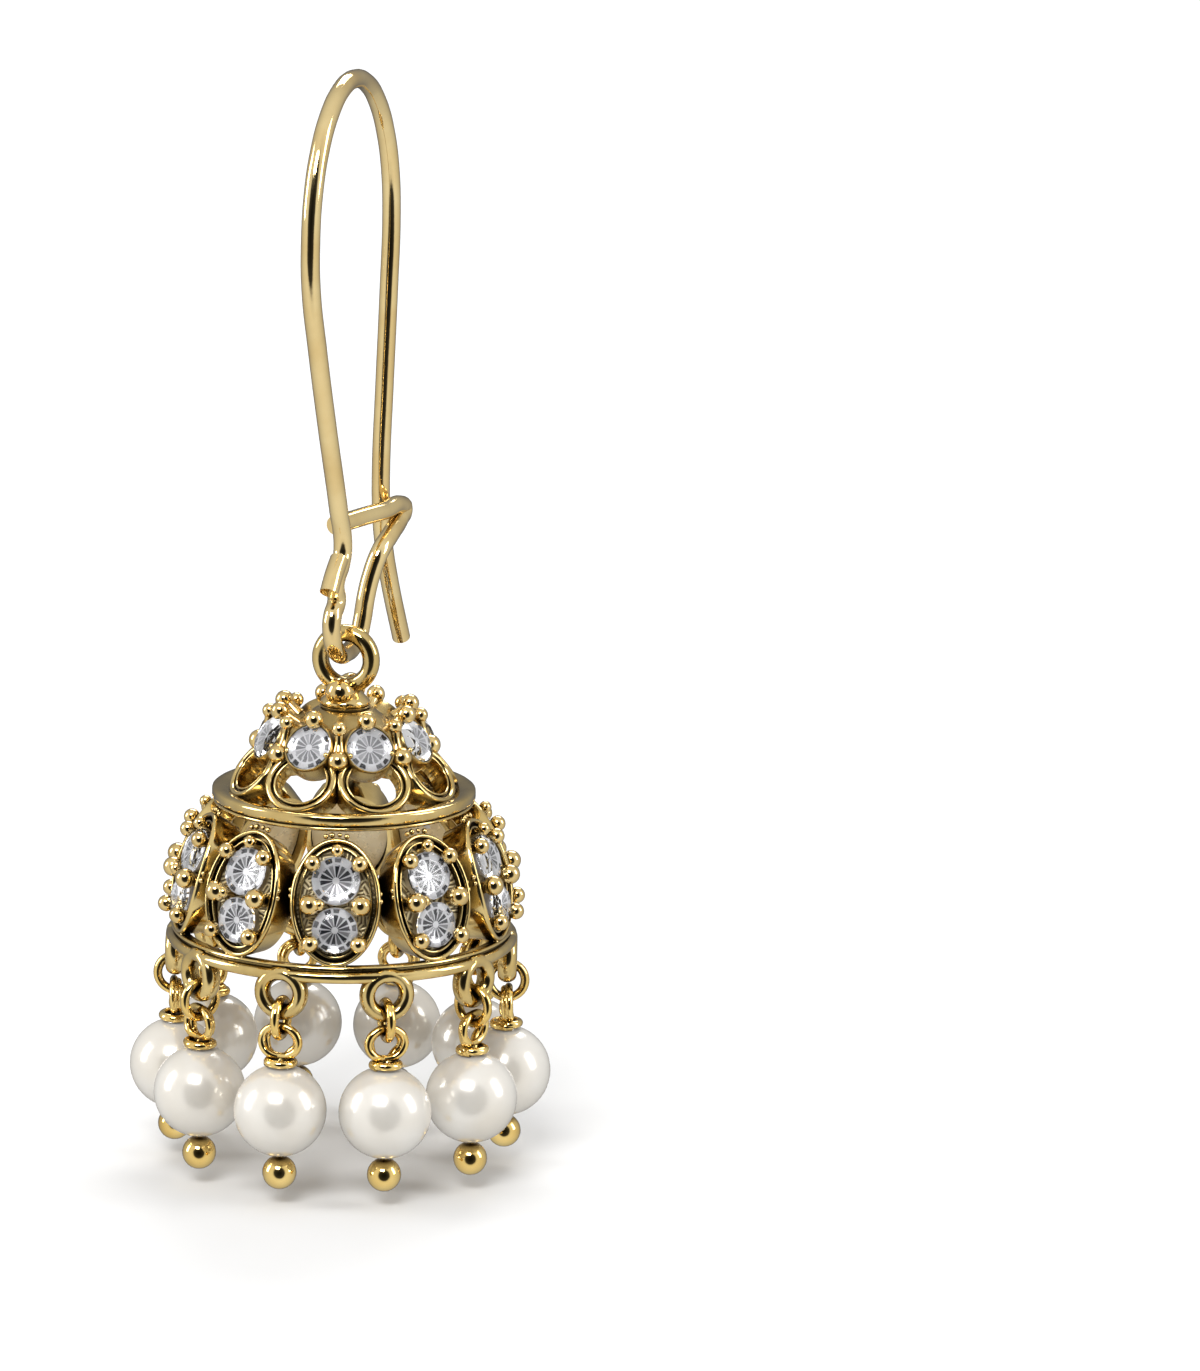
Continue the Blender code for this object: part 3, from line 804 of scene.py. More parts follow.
@dataclass(frozen=True)
class BellForm:
    """Main sizes of the bell, in millimetres, with heights from the arch's top."""

    turn: float = math.radians(16.5)
    crown_turn: float = math.radians(14.8)
    knob_foot: float = -34.01
    crown_count: int = 8
    crown_radius: float = 4.3
    crown_level: float = -35.61
    crown_tilt: float = math.radians(32)
    cup_outer: float = 1.58
    hoop_radius: float = 7.2
    hoop_top: float = -38.56
    rim_radius: float = 9.62
    rim_top: float = -46.31
    panel_count: int = 10
    skirt_head: tuple[float, float] = (6.9625, -39.21)
    skirt_foot: tuple[float, float] = (9.2867, -46.61)
    skirt_bulge: float = 0.6

    @property
    def crown_angles(self) -> list[float]:
        """Angle of each crown stone."""
        step = FULL_TURN / self.crown_count
        return [self.crown_turn + step * (i + 0.5) for i in range(self.crown_count)]

    @property
    def panel_angles(self) -> list[float]:
        """Angle of each panel."""
        step = FULL_TURN / self.panel_count
        return [self.turn + step * i for i in range(self.panel_count)]

    @property
    def drop_angles(self) -> list[float]:
        """Angle of each pearl drop, under the joints between the panels."""
        step = FULL_TURN / self.panel_count
        return [self.turn + step * (i + 0.5) for i in range(self.panel_count)]

    @property
    def skirt_chord(self) -> float:
        """Length of a panel."""
        return math.dist(self.skirt_head, self.skirt_foot)

    def skirt(self, along: float, proud: float) -> tuple[float, float, float]:
        """Find a point of the skirt.

        Args:
            along: Distance up the skirt from its middle.
            proud: Distance out of its face.

        Returns:
            The point's radius and height, and the face's upward tilt there.
        """
        (head_r, head_z), (foot_r, foot_z) = self.skirt_head, self.skirt_foot
        lean = math.atan2(foot_r - head_r, head_z - foot_z)
        arc = (self.skirt_chord ** 2 / 4 + self.skirt_bulge ** 2) / (2 * self.skirt_bulge)
        back = arc - self.skirt_bulge
        tilt = lean + along / arc
        radius = (head_r + foot_r) / 2 - back * math.cos(lean) + (arc + proud) * math.cos(tilt)
        height = (head_z + foot_z) / 2 - back * math.sin(lean) + (arc + proud) * math.sin(tilt)
        return radius, height, tilt

    def bend(self, piece: Piece) -> Piece:
        """Bend a flat panel piece, x across, y along and z proud, to the skirt.

        Args:
            piece: The flat piece.

        Returns:
            The bent piece, at the front.
        """
        for vert in piece.data.vertices:
            radius, height, _ = self.skirt(vert.co.y, vert.co.z)
            vert.co = Vector((vert.co.x, -radius, height))
        return piece

    def on_skirt(self, across: float, along: float, proud: float) -> Matrix:
        """Frame of something seated on the front panel.

        Args:
            across: Distance along X.
            along: Distance up the skirt.
            proud: Distance out of its face.

        Returns:
            The frame, z outwards.
        """
        radius, height, tilt = self.skirt(along, proud)
        return facing(0, radius, height, tilt) @ Matrix.Translation((across, 0, 0))

    def stone_seat(self, angle: float) -> Matrix:
        """Frame of a crown stone on its girdle.

        Args:
            angle: The stone's angle.

        Returns:
            The frame, z outwards.
        """
        return facing(angle, self.crown_radius, self.crown_level, self.crown_tilt)


def turned(angle: float) -> Matrix:
    """Turn about the bell's axis."""
    return Matrix.Rotation(angle, 4, "Z")


def facing(angle: float, radius: float, height: float, tilt: float) -> Matrix:
    """Frame with x along the ring, y up the slope and z outwards.

    Args:
        angle: Angle about Z.
        radius: Distance from Z.
        height: Height of the frame.
        tilt: Upward tilt of z.

    Returns:
        The frame.
    """
    lean = Matrix.Rotation(math.pi / 2 - tilt, 4, "X")
    return turned(angle) @ Matrix.Translation((0, -radius, height)) @ lean


@dataclass
class EarWire:
    """The one bent wire that hangs in the ear, and its soldered tail."""

    wire: float = 1.02
    width: float = 13.2
    reach: float = 31.2
    arch_rise: float = 8.0
    arch_steps: int = 10
    free_leg: tuple[Point, ...] = (
        (-0.34, 0.795, 1.038), (-0.34, 0.625, 0.920), (-0.34, 0.538, 0.843),
        (-0.34, 0.504, 0.788), (-0.29, 0.481, 0.705), (-0.15, 0.476, 0.564),
        (0.00, 0.480, 0.388))
    front_leg: tuple[Point, ...] = (
        (0.00, -0.488, 0.333), (0.00, -0.402, 0.442), (0.00, -0.265, 0.590),
        (0.00, -0.121, 0.734), (0.00, -0.057, 0.808), (0.00, -0.076, 0.833),
        (0.00, -0.148, 0.869), (0.00, -0.125, 0.896), (0.00, -0.178, 0.923),
        (0.00, -0.182, 0.949), (0.00, -0.144, 0.978), (0.00, -0.068, 0.997),
        (0.00, 0.000, 1.000), (0.00, 0.076, 0.997))
    catch: tuple[Point, ...] = (
        (0.03, 0.152, 0.981), (0.10, 0.178, 0.955), (0.25, 0.189, 0.913),
        (0.45, 0.208, 0.875), (0.75, 0.238, 0.838), (0.92, 0.326, 0.814),
        (0.95, 0.447, 0.793), (0.95, 0.500, 0.777), (0.92, 0.462, 0.768),
        (0.68, 0.303, 0.768), (0.20, 0.167, 0.769), (-0.25, 0.053, 0.771),
        (-0.60, -0.036, 0.773))
    tail: tuple[Point, ...] = ((0.00, -0.098, 0.825), (-0.03, -0.160, 0.850),
                               (-0.05, -0.212, 0.877))

    def place(self, row: Point) -> Point:
        """Place of a row: side in wires, along in widths, down in reaches."""
        return row[0] * self.wire, row[1] * self.width, -row[2] * self.reach

    def arch(self) -> list[Point]:
        """Points of the half-oval arch, from back to front.

        Returns:
            The points.
        """
        points = []
        for i in range(self.arch_steps + 1):
            a = math.pi * i / self.arch_steps
            points.append((0.0, self.width / 2 * math.cos(a), self.arch_rise * (math.sin(a) - 1)))
        return points

    def build(self) -> None:
        """Bend the wire and its tail, and seat them."""
        route = [self.place(row) for row in self.free_leg] + self.arch()
        route += [self.place(row) for row in self.front_leg + self.catch]
        wire = bent_wire("ear_wire", route, self.wire, detail=10)
        seated(wire, WIRE_GOLD, Body.HOOK, ["ear_hook"])
        tail = bent_wire("ear_wire_tail", [self.place(row) for row in self.tail], self.wire)
        seated(tail, WIRE_GOLD, Body.HOOK)


@dataclass
class Hanger:
    """The ring, the knob with its solder balls, and the cap."""

    form: BellForm
    ring_level: float = -31.53
    ring_outer: float = 3.86
    ring_wire: float = 0.95
    solder_width: float = 1.62
    solder_spot: Point = (-0.05, -0.74, -33.24)

    def build(self) -> None:
        """Model the ring, knob and cap."""
        radius = (self.ring_outer - self.ring_wire) / 2
        ring = lathe("hanging_ring", oval_section(radius, 0, self.ring_wire, self.ring_wire), 56)
        placed(ring, Matrix.Translation((0, 0, self.ring_level))
               @ Matrix.Rotation(math.pi / 2, 4, "X"))
        seated(ring, ANTIQUE_GOLD, Body.BELL, ["bell"])
        self.knob()
        self.cap()

    def knob(self) -> None:
        """Turn the knob and set its solder balls."""
        foot = self.form.knob_foot
        rows = [(0.0, 1.25), (0.35, 1.22), (0.62, 1.08), (0.80, 0.86), (0.92, 0.66), (1.08, 0.50),
                (1.22, 0.38), (1.32, 0.25), (1.36, 0.13), (1.33, 0.03), (1.22, -0.03),
                (1.08, -0.05), (0.0, -0.06)]
        knob = lathe("knob", [(radius, foot + rise) for radius, rise in rows], 48, closed=False)
        front = Matrix.Translation(Vector(self.solder_spot))
        balls = [ball("solder", self.solder_width, side @ front, 28)
                 for side in (turned(0), turned(math.pi))]
        seated(joined([knob, *balls], "knob"), GRAIN_GOLD, Body.BELL, crease=60.0)

    def cap(self) -> None:
        """Turn the shallow cap, with its fine collar, under the knob."""
        foot = self.form.knob_foot
        rows = [(0.90, 0.0), (1.20, -0.02), (1.34, -0.03), (1.39, -0.07), (1.35, -0.11),
                (1.29, -0.13), (1.29, -0.17), (1.36, -0.17), (1.50, -0.20), (1.62, -0.26),
                (1.79, -0.37), (2.10, -0.64), (2.40, -0.90), (2.80, -1.15), (3.20, -1.50),
                (3.35, -1.74), (2.95, -1.62), (2.50, -1.36), (1.90, -1.05), (0.90, -0.80)]
        profile = [(radius, foot + fall) for radius, fall in rows]
        seated(lathe("cap", profile, 72), BRUSHED_GOLD, Body.BELL, crease=50.0)


@dataclass
class CutStone:
    """A round stone: a clear faceted top over a silvered back cut in rays."""

    width: float = 2.5
    table: float = 0.62
    crown: float = 0.36
    girdle: float = 0.14
    pavilion: float = 0.9
    kite: float = 0.83
    sides: int = 8
    rays: int = 14
    ray_share: float = 0.7
    eye: float = 0.15
    cuts: tuple[float, float] = (0.72, 0.92)
    # Painted reflection levels of the back's dark rays and short cuts; dimness lightens the rays'
    # painted dark, and the eye is a painted bright centre.
    ray_shades: tuple[float, ...] = (0.05, 0.16, 0.02, 0.32, 0.08)
    cut_shades: tuple[float, ...] = (0.04, 0.45, 0.2)
    dimness: float = 0.0

    def model(self, name: str) -> Piece:
        """Cut the clear top from rings of corners.

        Args:
            name: The stone's name.

        Returns:
            The stone, its table up its own z axis.
        """
        outer = self.width / 2
        top, edge, foot = self.girdle / 2 + self.crown, self.girdle / 2, -self.girdle / 2
        half_side = math.pi / self.sides
        table, kite = outer * self.table, outer * self.kite
        kite_level = top + (kite * math.cos(half_side) - table) * (edge - top) / (outer - table)
        rings = [(self.sides, table, top, 0.0), (self.sides, kite, kite_level, half_side),
                 (2 * self.sides, outer, edge, 0.0), (2 * self.sides, outer, foot, 0.0)]
        bpy.ops.object.select_all(action="DESELECT")
        bpy.ops.mesh.primitive_circle_add(vertices=self.sides, radius=table, location=(0, 0, 0))
        piece = named(name)
        with edited(piece):
            bpy.ops.mesh.delete(type="VERT")
            for count, radius, level, twist in rings:
                bpy.ops.mesh.primitive_circle_add(vertices=count, radius=radius,
                                                  location=(0, 0, level), rotation=(0, 0, twist))
            bpy.ops.mesh.select_all(action="SELECT")
            bpy.ops.mesh.convex_hull()
            bpy.ops.mesh.select_all(action="SELECT")
            bpy.ops.mesh.dissolve_limited(angle_limit=math.radians(0.6))
            bpy.ops.mesh.normals_make_consistent(inside=False)
        return piece

    def backing(self, name: str, gap: float = 0.015) -> Piece:
        """Turn the silvered back, and paint its rays and the short cuts round them light and dark,
        as painted reflections.

        Args:
            name: The back's name.
            gap: Clearance to the stone.

        Returns:
            The back.
        """
        outer, level = self.width / 2 - gap, -self.girdle / 2 - gap
        profile = [(0.0, level - 0.07), (outer * self.eye, level - 0.07),
                   (outer * self.table, level - 0.02), (outer * self.cuts[0], level),
                   (outer * self.cuts[1], level), (outer, level),
                   (outer * 0.3, level - self.pavilion),
                   (0.0, level - self.pavilion - 0.05)]
        piece = lathe(name, profile, 2 * self.rays, closed=False)
        step = math.pi / self.rays
        for vert in piece.data.vertices:
            number = round(math.atan2(vert.co.y, vert.co.x) / step)
            if number % 2 and math.hypot(vert.co.x, vert.co.y) > MERGE:
                more = (2 * self.ray_share - 1) * step
                vert.co = Matrix.Rotation(more, 3, "Z") @ vert.co
        # Painted reflections: each face of the back is marked light or dark, as the stone's facets
        # would mirror the room.
        marks = piece.data.attributes.new(FACET, "FLOAT", "FACE")
        for face in piece.data.polygons:
            marks.data[face.index].value = self.brightness(face.center, step)
        return piece

    def brightness(self, spot: Vector, step: float) -> float:
        """Say how light one cut of the back is painted, as a painted reflection.

        Args:
            spot: The cut's middle.
            step: Angle between two rays' edges.

        Returns:
            Its brightness, from 0 to 1.
        """
        share = math.hypot(spot.x, spot.y) * 2 / self.width
        number = math.floor(math.atan2(spot.y, spot.x) / step) + 2 * self.rays
        ray, gap = divmod(number, 2)
        if spot.z < -self.girdle - 0.1 or share < self.eye:
            return 1.0
        if share < self.table:
            return 0.9 if gap else self.ray_shades[ray % len(self.ray_shades)] + self.dimness
        if self.cuts[0] < share < self.cuts[1] and not gap and ray % 3 != 1:
            return self.cut_shades[ray % 3]
        return 1.0 - 0.1 * (ray % 2)


@dataclass
class Crown:
    """The cups, grains and columns of the crown, with their stones."""

    form: BellForm
    stone: CutStone
    top_grain: float = 1.03
    top_spot: tuple[float, float] = (3.72, -34.20)
    gap_grain: float = 0.82
    gap_spot: tuple[float, float] = (4.12, -34.52)
    joint_grain: float = 1.14
    joint_spot: tuple[float, float] = (4.68, -36.17)
    bead: float = 0.32
    bead_place: Point = (0.66, 4.62, -35.86)
    column_foot: tuple[float, float] = (0.32, 0.02)
    column_head: tuple[float, float] = (0.03, 0.0)
    web_end: tuple[float, float] = (1.5, 0.6)
    foot_end: tuple[float, float] = (0.25, -0.48)
    stem_foot: tuple[float, float] = (0.25, -0.9)

    def cup(self) -> Piece:
        """Turn one deep cup with a thin lip, z outwards."""
        rows = [(1.265, -0.10), (1.27, 0.04), (1.30, 0.09), (1.35, 0.09), (1.39, 0.03),
                (1.42, -0.12), (1.50, -0.40), (1.54, -0.80), (1.50, -1.20), (1.36, -1.55),
                (1.10, -1.80), (0.70, -1.92), (0.0, -1.95), (0.0, -1.70), (0.60, -1.66),
                (1.00, -1.45), (1.22, -1.10), (1.27, -0.50)]
        return lathe("cup", rows, 48)

    @staticmethod
    def spot(turn: Matrix, grain: tuple[float, float],
             inwards: tuple[float, float] = (0.0, 0.0)) -> Vector:
        """Place something at a grain.

        Args:
            turn: Turn of the grain about the bell's axis.
            grain: The grain's radius and height.
            inwards: How far it lies inwards of the grain's middle, and above it.

        Returns:
            The place.
        """
        return turn @ Vector((0, -grain[0] + inwards[0], grain[1] + inwards[1]))

    def column(self, joint: Matrix) -> list[Piece]:
        """Waisted column from the upper grain down into the joint's grain.

        Args:
            joint: Turn of the joint.

        Returns:
            The column, the web behind it and the foot under it.
        """
        low = self.spot(joint, self.joint_spot, self.column_foot)
        high = self.spot(joint, self.gap_spot, self.column_head)
        deep = self.spot(joint, self.joint_spot, self.web_end)
        foot = self.spot(joint, self.joint_spot, self.foot_end)
        rows = [(0.48, 0.0), (0.46, 0.14), (0.36, 0.30), (0.26, 0.48), (0.22, 0.62), (0.25, 0.78),
                (0.31, 0.92), (0.30, 1.0)]
        return [post("column", rows, low, high, 20),
                post("web", [(0.40, 0.0), (0.46, 1.0)], deep, low),
                post("foot", [(0.20, 0.0), (0.34, 0.5), (0.42, 1.0)], foot, low)]

    def grains(self) -> list[Piece]:
        """Grains over the stones, at the joints and in the upper gaps, with their columns.

        Returns:
            The grains, stems, columns and beads.
        """
        form = self.form
        inset, depth = self.stem_foot
        made = []
        for angle in form.crown_angles:
            top = self.spot(turned(angle), self.top_spot)
            made.append(ball("grain", self.top_grain, Matrix.Translation(top), 24))
            made.append(post("stem", [(0.40, 0.0), (0.30, 0.5), (0.34, 1.0)],
                             form.stone_seat(angle) @ Vector((0, form.cup_outer - inset, depth)),
                             top))
            joint = turned(angle + math.pi / form.crown_count)
            for width, grain, sides in ((self.joint_grain, self.joint_spot, 28),
                                        (self.gap_grain, self.gap_spot, 20)):
                place = Matrix.Translation(self.spot(joint, grain))
                made.append(ball("grain", width, place, sides))
            made += self.column(joint)
            across, radius, level = self.bead_place
            for side in (-1, 1):
                bead = joint @ Vector((side * across, -radius, level))
                made.append(ball("bead", self.bead, Matrix.Translation(bead), 12))
        return made

    def build(self) -> None:
        """Model the crown and set its stones."""
        form = self.form
        seats = [form.stone_seat(angle) for angle in form.crown_angles]
        seated(repeated(self.cup(), "crown_cups", seats), BRUSHED_GOLD, Body.BELL, crease=45.0)
        seated(joined(self.grains(), "crown_grains"), GRAIN_GOLD, Body.BELL, crease=60.0)
        stone, backing = self.stone.model("stone"), self.stone.backing("backing")
        for i, seat in enumerate(seats, 1):
            gem = copied(stone, f"crown_gem_{i}", seat)
            seated(gem, CLEAR_STONE, Body.BELL, [f"crown_stone_{i}"], crease=None)
            seated(copied(backing, f"crown_foil_{i}", seat), STONE_FOIL, Body.BELL, crease=None)
        spent(stone, backing)


@dataclass
class Scallops:
    """Horseshoe ribbons under the crown's cups, each with a fine inner line."""

    form: BellForm
    head: tuple[float, float] = (4.31, -36.146)
    tilt: float = math.radians(39.2)
    half_width: float = 2.05
    half_height: float = 1.86
    drop: float = 1.45
    band: float = 0.33
    groove: float = 0.13
    line: float = 0.13
    depth: float = 1.15
    cut: float = 1.25

    def ribbon(self, name: str, inset: float, band: float, front: float, depth: float) -> Piece:
        """Make one oval ribbon round the origin.

        Args:
            name: The ribbon's name.
            inset: How far inside the scallop's outline it lies.
            band: The ribbon's width.
            front: Height of its front above the scallop's plane.
            depth: Its depth behind its front.

        Returns:
            The ribbon, z outwards.
        """
        outer, inner = OVAL_RADIUS - inset, OVAL_RADIUS - inset - band
        ease = band * 0.4
        rows = [(outer, front - ease), (outer - ease * 0.3, front - ease * 0.3),
                (outer - ease, front), (inner + ease, front),
                (inner + ease * 0.3, front - ease * 0.3), (inner, front - ease),
                (inner, front - depth), (outer, front - depth)]
        ring = lathe(name, rows, 72)
        oval_about(ring, self.half_width, self.half_height)
        return ring

    def build(self) -> None:
        """Model one scallop and copy it round the bell."""
        inner = self.band + self.groove
        parts = [self.ribbon("ribbon", 0.0, self.band, 0.05, self.depth),
                 self.ribbon("groove", self.band - 0.02, self.groove + 0.04, -0.22, 0.7),
                 self.ribbon("line", inner, self.line, -0.02, self.depth - 0.1)]
        one = trimmed(joined(parts, "scallop"), (0, self.cut, 0), (0, 1, 0))
        placed(one, Matrix.Translation((0, -self.drop, 0)))
        places = [facing(a, *self.head, self.tilt) for a in self.form.crown_angles]
        seated(repeated(one, "scallops", places), ANTIQUE_GOLD, Body.BELL, crease=50.0)


@dataclass
class Bands:
    """The hoop under the crown and the rim under the panels."""

    form: BellForm

    def build(self) -> None:
        """Turn both bands."""
        form = self.form
        hoop_rows = [(-0.95, -0.10), (-0.50, 0.0), (-0.26, -0.01), (-0.10, -0.05), (-0.02, -0.11),
                     (0.0, -0.18), (0.0, -0.52), (-0.04, -0.57), (-0.16, -0.60), (-0.26, -0.615),
                     (-0.26, -0.665), (-0.15, -0.68), (-0.09, -0.75), (-0.10, -0.83),
                     (-0.20, -0.90), (-0.36, -0.95), (-0.95, -0.86)]
        hoop = lathe("hoop", [(form.hoop_radius + r, form.hoop_top + z) for r, z in hoop_rows], 120)
        seated(hoop, ANTIQUE_GOLD, Body.BELL, crease=50.0)
        rim_rows = [(-1.0, -0.10), (-0.55, -0.01), (-0.40, 0.0), (-0.30, -0.05), (-0.27, -0.13),
                    (-0.33, -0.19), (-0.41, -0.20), (-0.41, -0.29), (-0.27, -0.31),
                    (-0.10, -0.37), (-0.01, -0.48), (0.0, -0.64), (-0.04, -0.80),
                    (-0.14, -0.91), (-0.30, -0.95), (-1.0, -0.88)]
        rim = lathe("rim", [(form.rim_radius + r, form.rim_top + z) for r, z in rim_rows], 144)
        seated(rim, ANTIQUE_GOLD, Body.BELL, crease=50.0)


@dataclass
class Panels:
    """Ten oval panels with a grooved rim, a hatched plate, two stones and their grains."""

    form: BellForm
    upper: CutStone
    lower: CutStone
    half_width: float = 2.44
    half_length: float = 3.52
    middle: float = -0.20
    depth: float = 1.6
    recess: float = 0.40
    plate_back: float = -0.9
    lining_front: float = -0.93
    lining_back: float = -1.02
    seat_gap: float = 0.03
    stone_places: tuple[float, float] = (0.95, -1.70)
    stone_level: float = -0.02
    grain_level: float = 0.42
    solder_level: float = -0.16
    grains: tuple[Point, ...] = ((0.05, 2.48, 0.70), (-1.26, 1.79, 0.90), (1.26, 1.79, 0.90),
                                 (-1.36, -0.38, 1.12), (1.36, -0.38, 1.12), (-0.84, -0.36, 0.62),
                                 (-1.29, -2.38, 0.92), (1.29, -2.38, 0.92))
    solder: tuple[Point, ...] = ((-0.62, 3.42, 0.30), (-0.30, 3.50, 0.34), (0.12, 3.52, 0.26),
                                 (0.50, 3.44, 0.32), (-0.55, -3.66, 0.30), (0.0, -3.74, 0.36),
                                 (0.52, -3.66, 0.28), (-2.38, 0.45, 0.30), (-2.40, 0.10, 0.26),
                                 (2.38, 0.30, 0.28), (2.40, -0.10, 0.32))

    def surround(self) -> Piece:
        """Flat oval wall with a rolled lip and a fine line inside it.

        Returns:
            The flat wall.
        """
        rows = [(0.0, -self.depth), (0.0, -0.16), (0.02, -0.04), (0.09, 0.05), (0.16, 0.07),
                (0.23, 0.04), (0.28, -0.05), (0.29, -0.20), (0.29, -0.40), (0.46, -0.40),
                (0.46, -0.14), (0.48, -0.09), (0.52, -0.08), (0.56, -0.10), (0.58, -0.16),
                (0.60, -0.50), (0.29, -0.62), (0.29, -self.depth)]
        ring = lathe("surround", [(OVAL_RADIUS - inward, level) for inward, level in rows], 80)
        oval_about(ring, self.half_width, self.half_length)
        return placed(ring, Matrix.Translation((0, self.middle, 0)))

    def disc(self, name: str, top: Sequence[float], foot: Sequence[float], front: float,
             back: float, steps: int) -> Piece:
        """Flat oval plate that fits inside the surround.

        Args:
            name: The plate's name.
            top: Radii of its front's rings, from the middle out, on OVAL_RADIUS.
            foot: Radii of its back's rings, from the edge in.
            front: Level of its front.
            back: Level of its back.
            steps: Stations round it.

        Returns:
            The flat plate.
        """
        rows = [(radius, front) for radius in top] + [(radius, back) for radius in foot]
        plate = lathe(name, rows, steps, closed=False)
        for vert in plate.data.vertices:
            vert.co.x *= self.half_width / OVAL_RADIUS
            vert.co.y *= self.half_length / OVAL_RADIUS
        return placed(plate, Matrix.Translation((0, self.middle, 0)))

    def plate(self) -> Piece:
        """Set-back plate with its two stone seats cut through, bent at the front.

        Returns:
            The bent plate.
        """
        disc = self.disc("plate", (0.0, 1.2, 2.4, 3.4, 4.3), (4.3, 3.0, 0.0), -self.recess,
                         self.plate_back, 72)
        for stone, along in zip((self.upper, self.lower), self.stone_places):
            bpy.ops.object.select_all(action="DESELECT")
            bpy.ops.mesh.primitive_cylinder_add(vertices=40, radius=stone.width / 2 + self.seat_gap,
                                                depth=3.0, location=(0, along, 0))
            disc = bored(disc, named("seat_bore"))
        return self.form.bend(disc)

    def lining(self) -> Piece:
        """Smooth pale plate inside the bell, behind the stones, bent at the front."""
        rings = (0.0, 1.5, 3.0, 4.35)
        return self.form.bend(self.disc("lining", rings, rings[::-1], self.lining_front,
                                        self.lining_back, 48))

    def claws(self) -> list[Piece]:
        """Grains on short stems round the front panel's stones, and beads round its oval.

        Returns:
            The grains, stems and beads.
        """
        made = []
        for across, along, width in self.grains:
            seat = self.form.on_skirt(across, along, self.grain_level)
            made.append(ball("grain", width, seat, 24))
            low = self.form.on_skirt(across, along, -self.recess - 0.1).translation
            made.append(post("stem", [(width * 0.38, 0.0), (width * 0.30, 0.5),
                                      (width * 0.32, 1.0)], low, seat.translation))
        for across, along, width in self.solder:
            made.append(ball("bead", width, self.form.on_skirt(across, along, self.solder_level),
                             10))
        return made

    def build(self) -> None:
        """Model one panel and copy it round the bell."""
        form = self.form
        lip = form.bend(self.surround())
        claws = joined(self.claws(), "claws")
        plate, lining = self.plate(), self.lining()
        gems, foils = [], []
        for stone, along in zip((self.upper, self.lower), self.stone_places):
            seat = form.on_skirt(0, along, self.stone_level)
            gems.append(placed(stone.model("gem"), seat))
            foils.append(placed(stone.backing("foil"), seat))
        gem, foil = joined(gems, "gem"), joined(foils, "foil")
        for i, angle in enumerate(form.panel_angles, 1):
            for piece, word, finish, crease in ((lip, "panel", ANTIQUE_GOLD, 45.0),
                                                (claws, "panel_claws", GRAIN_GOLD, 60.0),
                                                (plate, "panel_plate", HATCHED_GOLD, 45.0),
                                                (lining, "panel_lining", LINING_GOLD, 45.0),
                                                (gem, "panel_gems", CLEAR_STONE, None),
                                                (foil, "panel_foils", STONE_FOIL, None)):
                seated(copied(piece, f"{word}_{i}", turned(angle)), finish, Body.BELL,
                       crease=crease)
        spent(lip, claws, plate, lining, gem, foil)


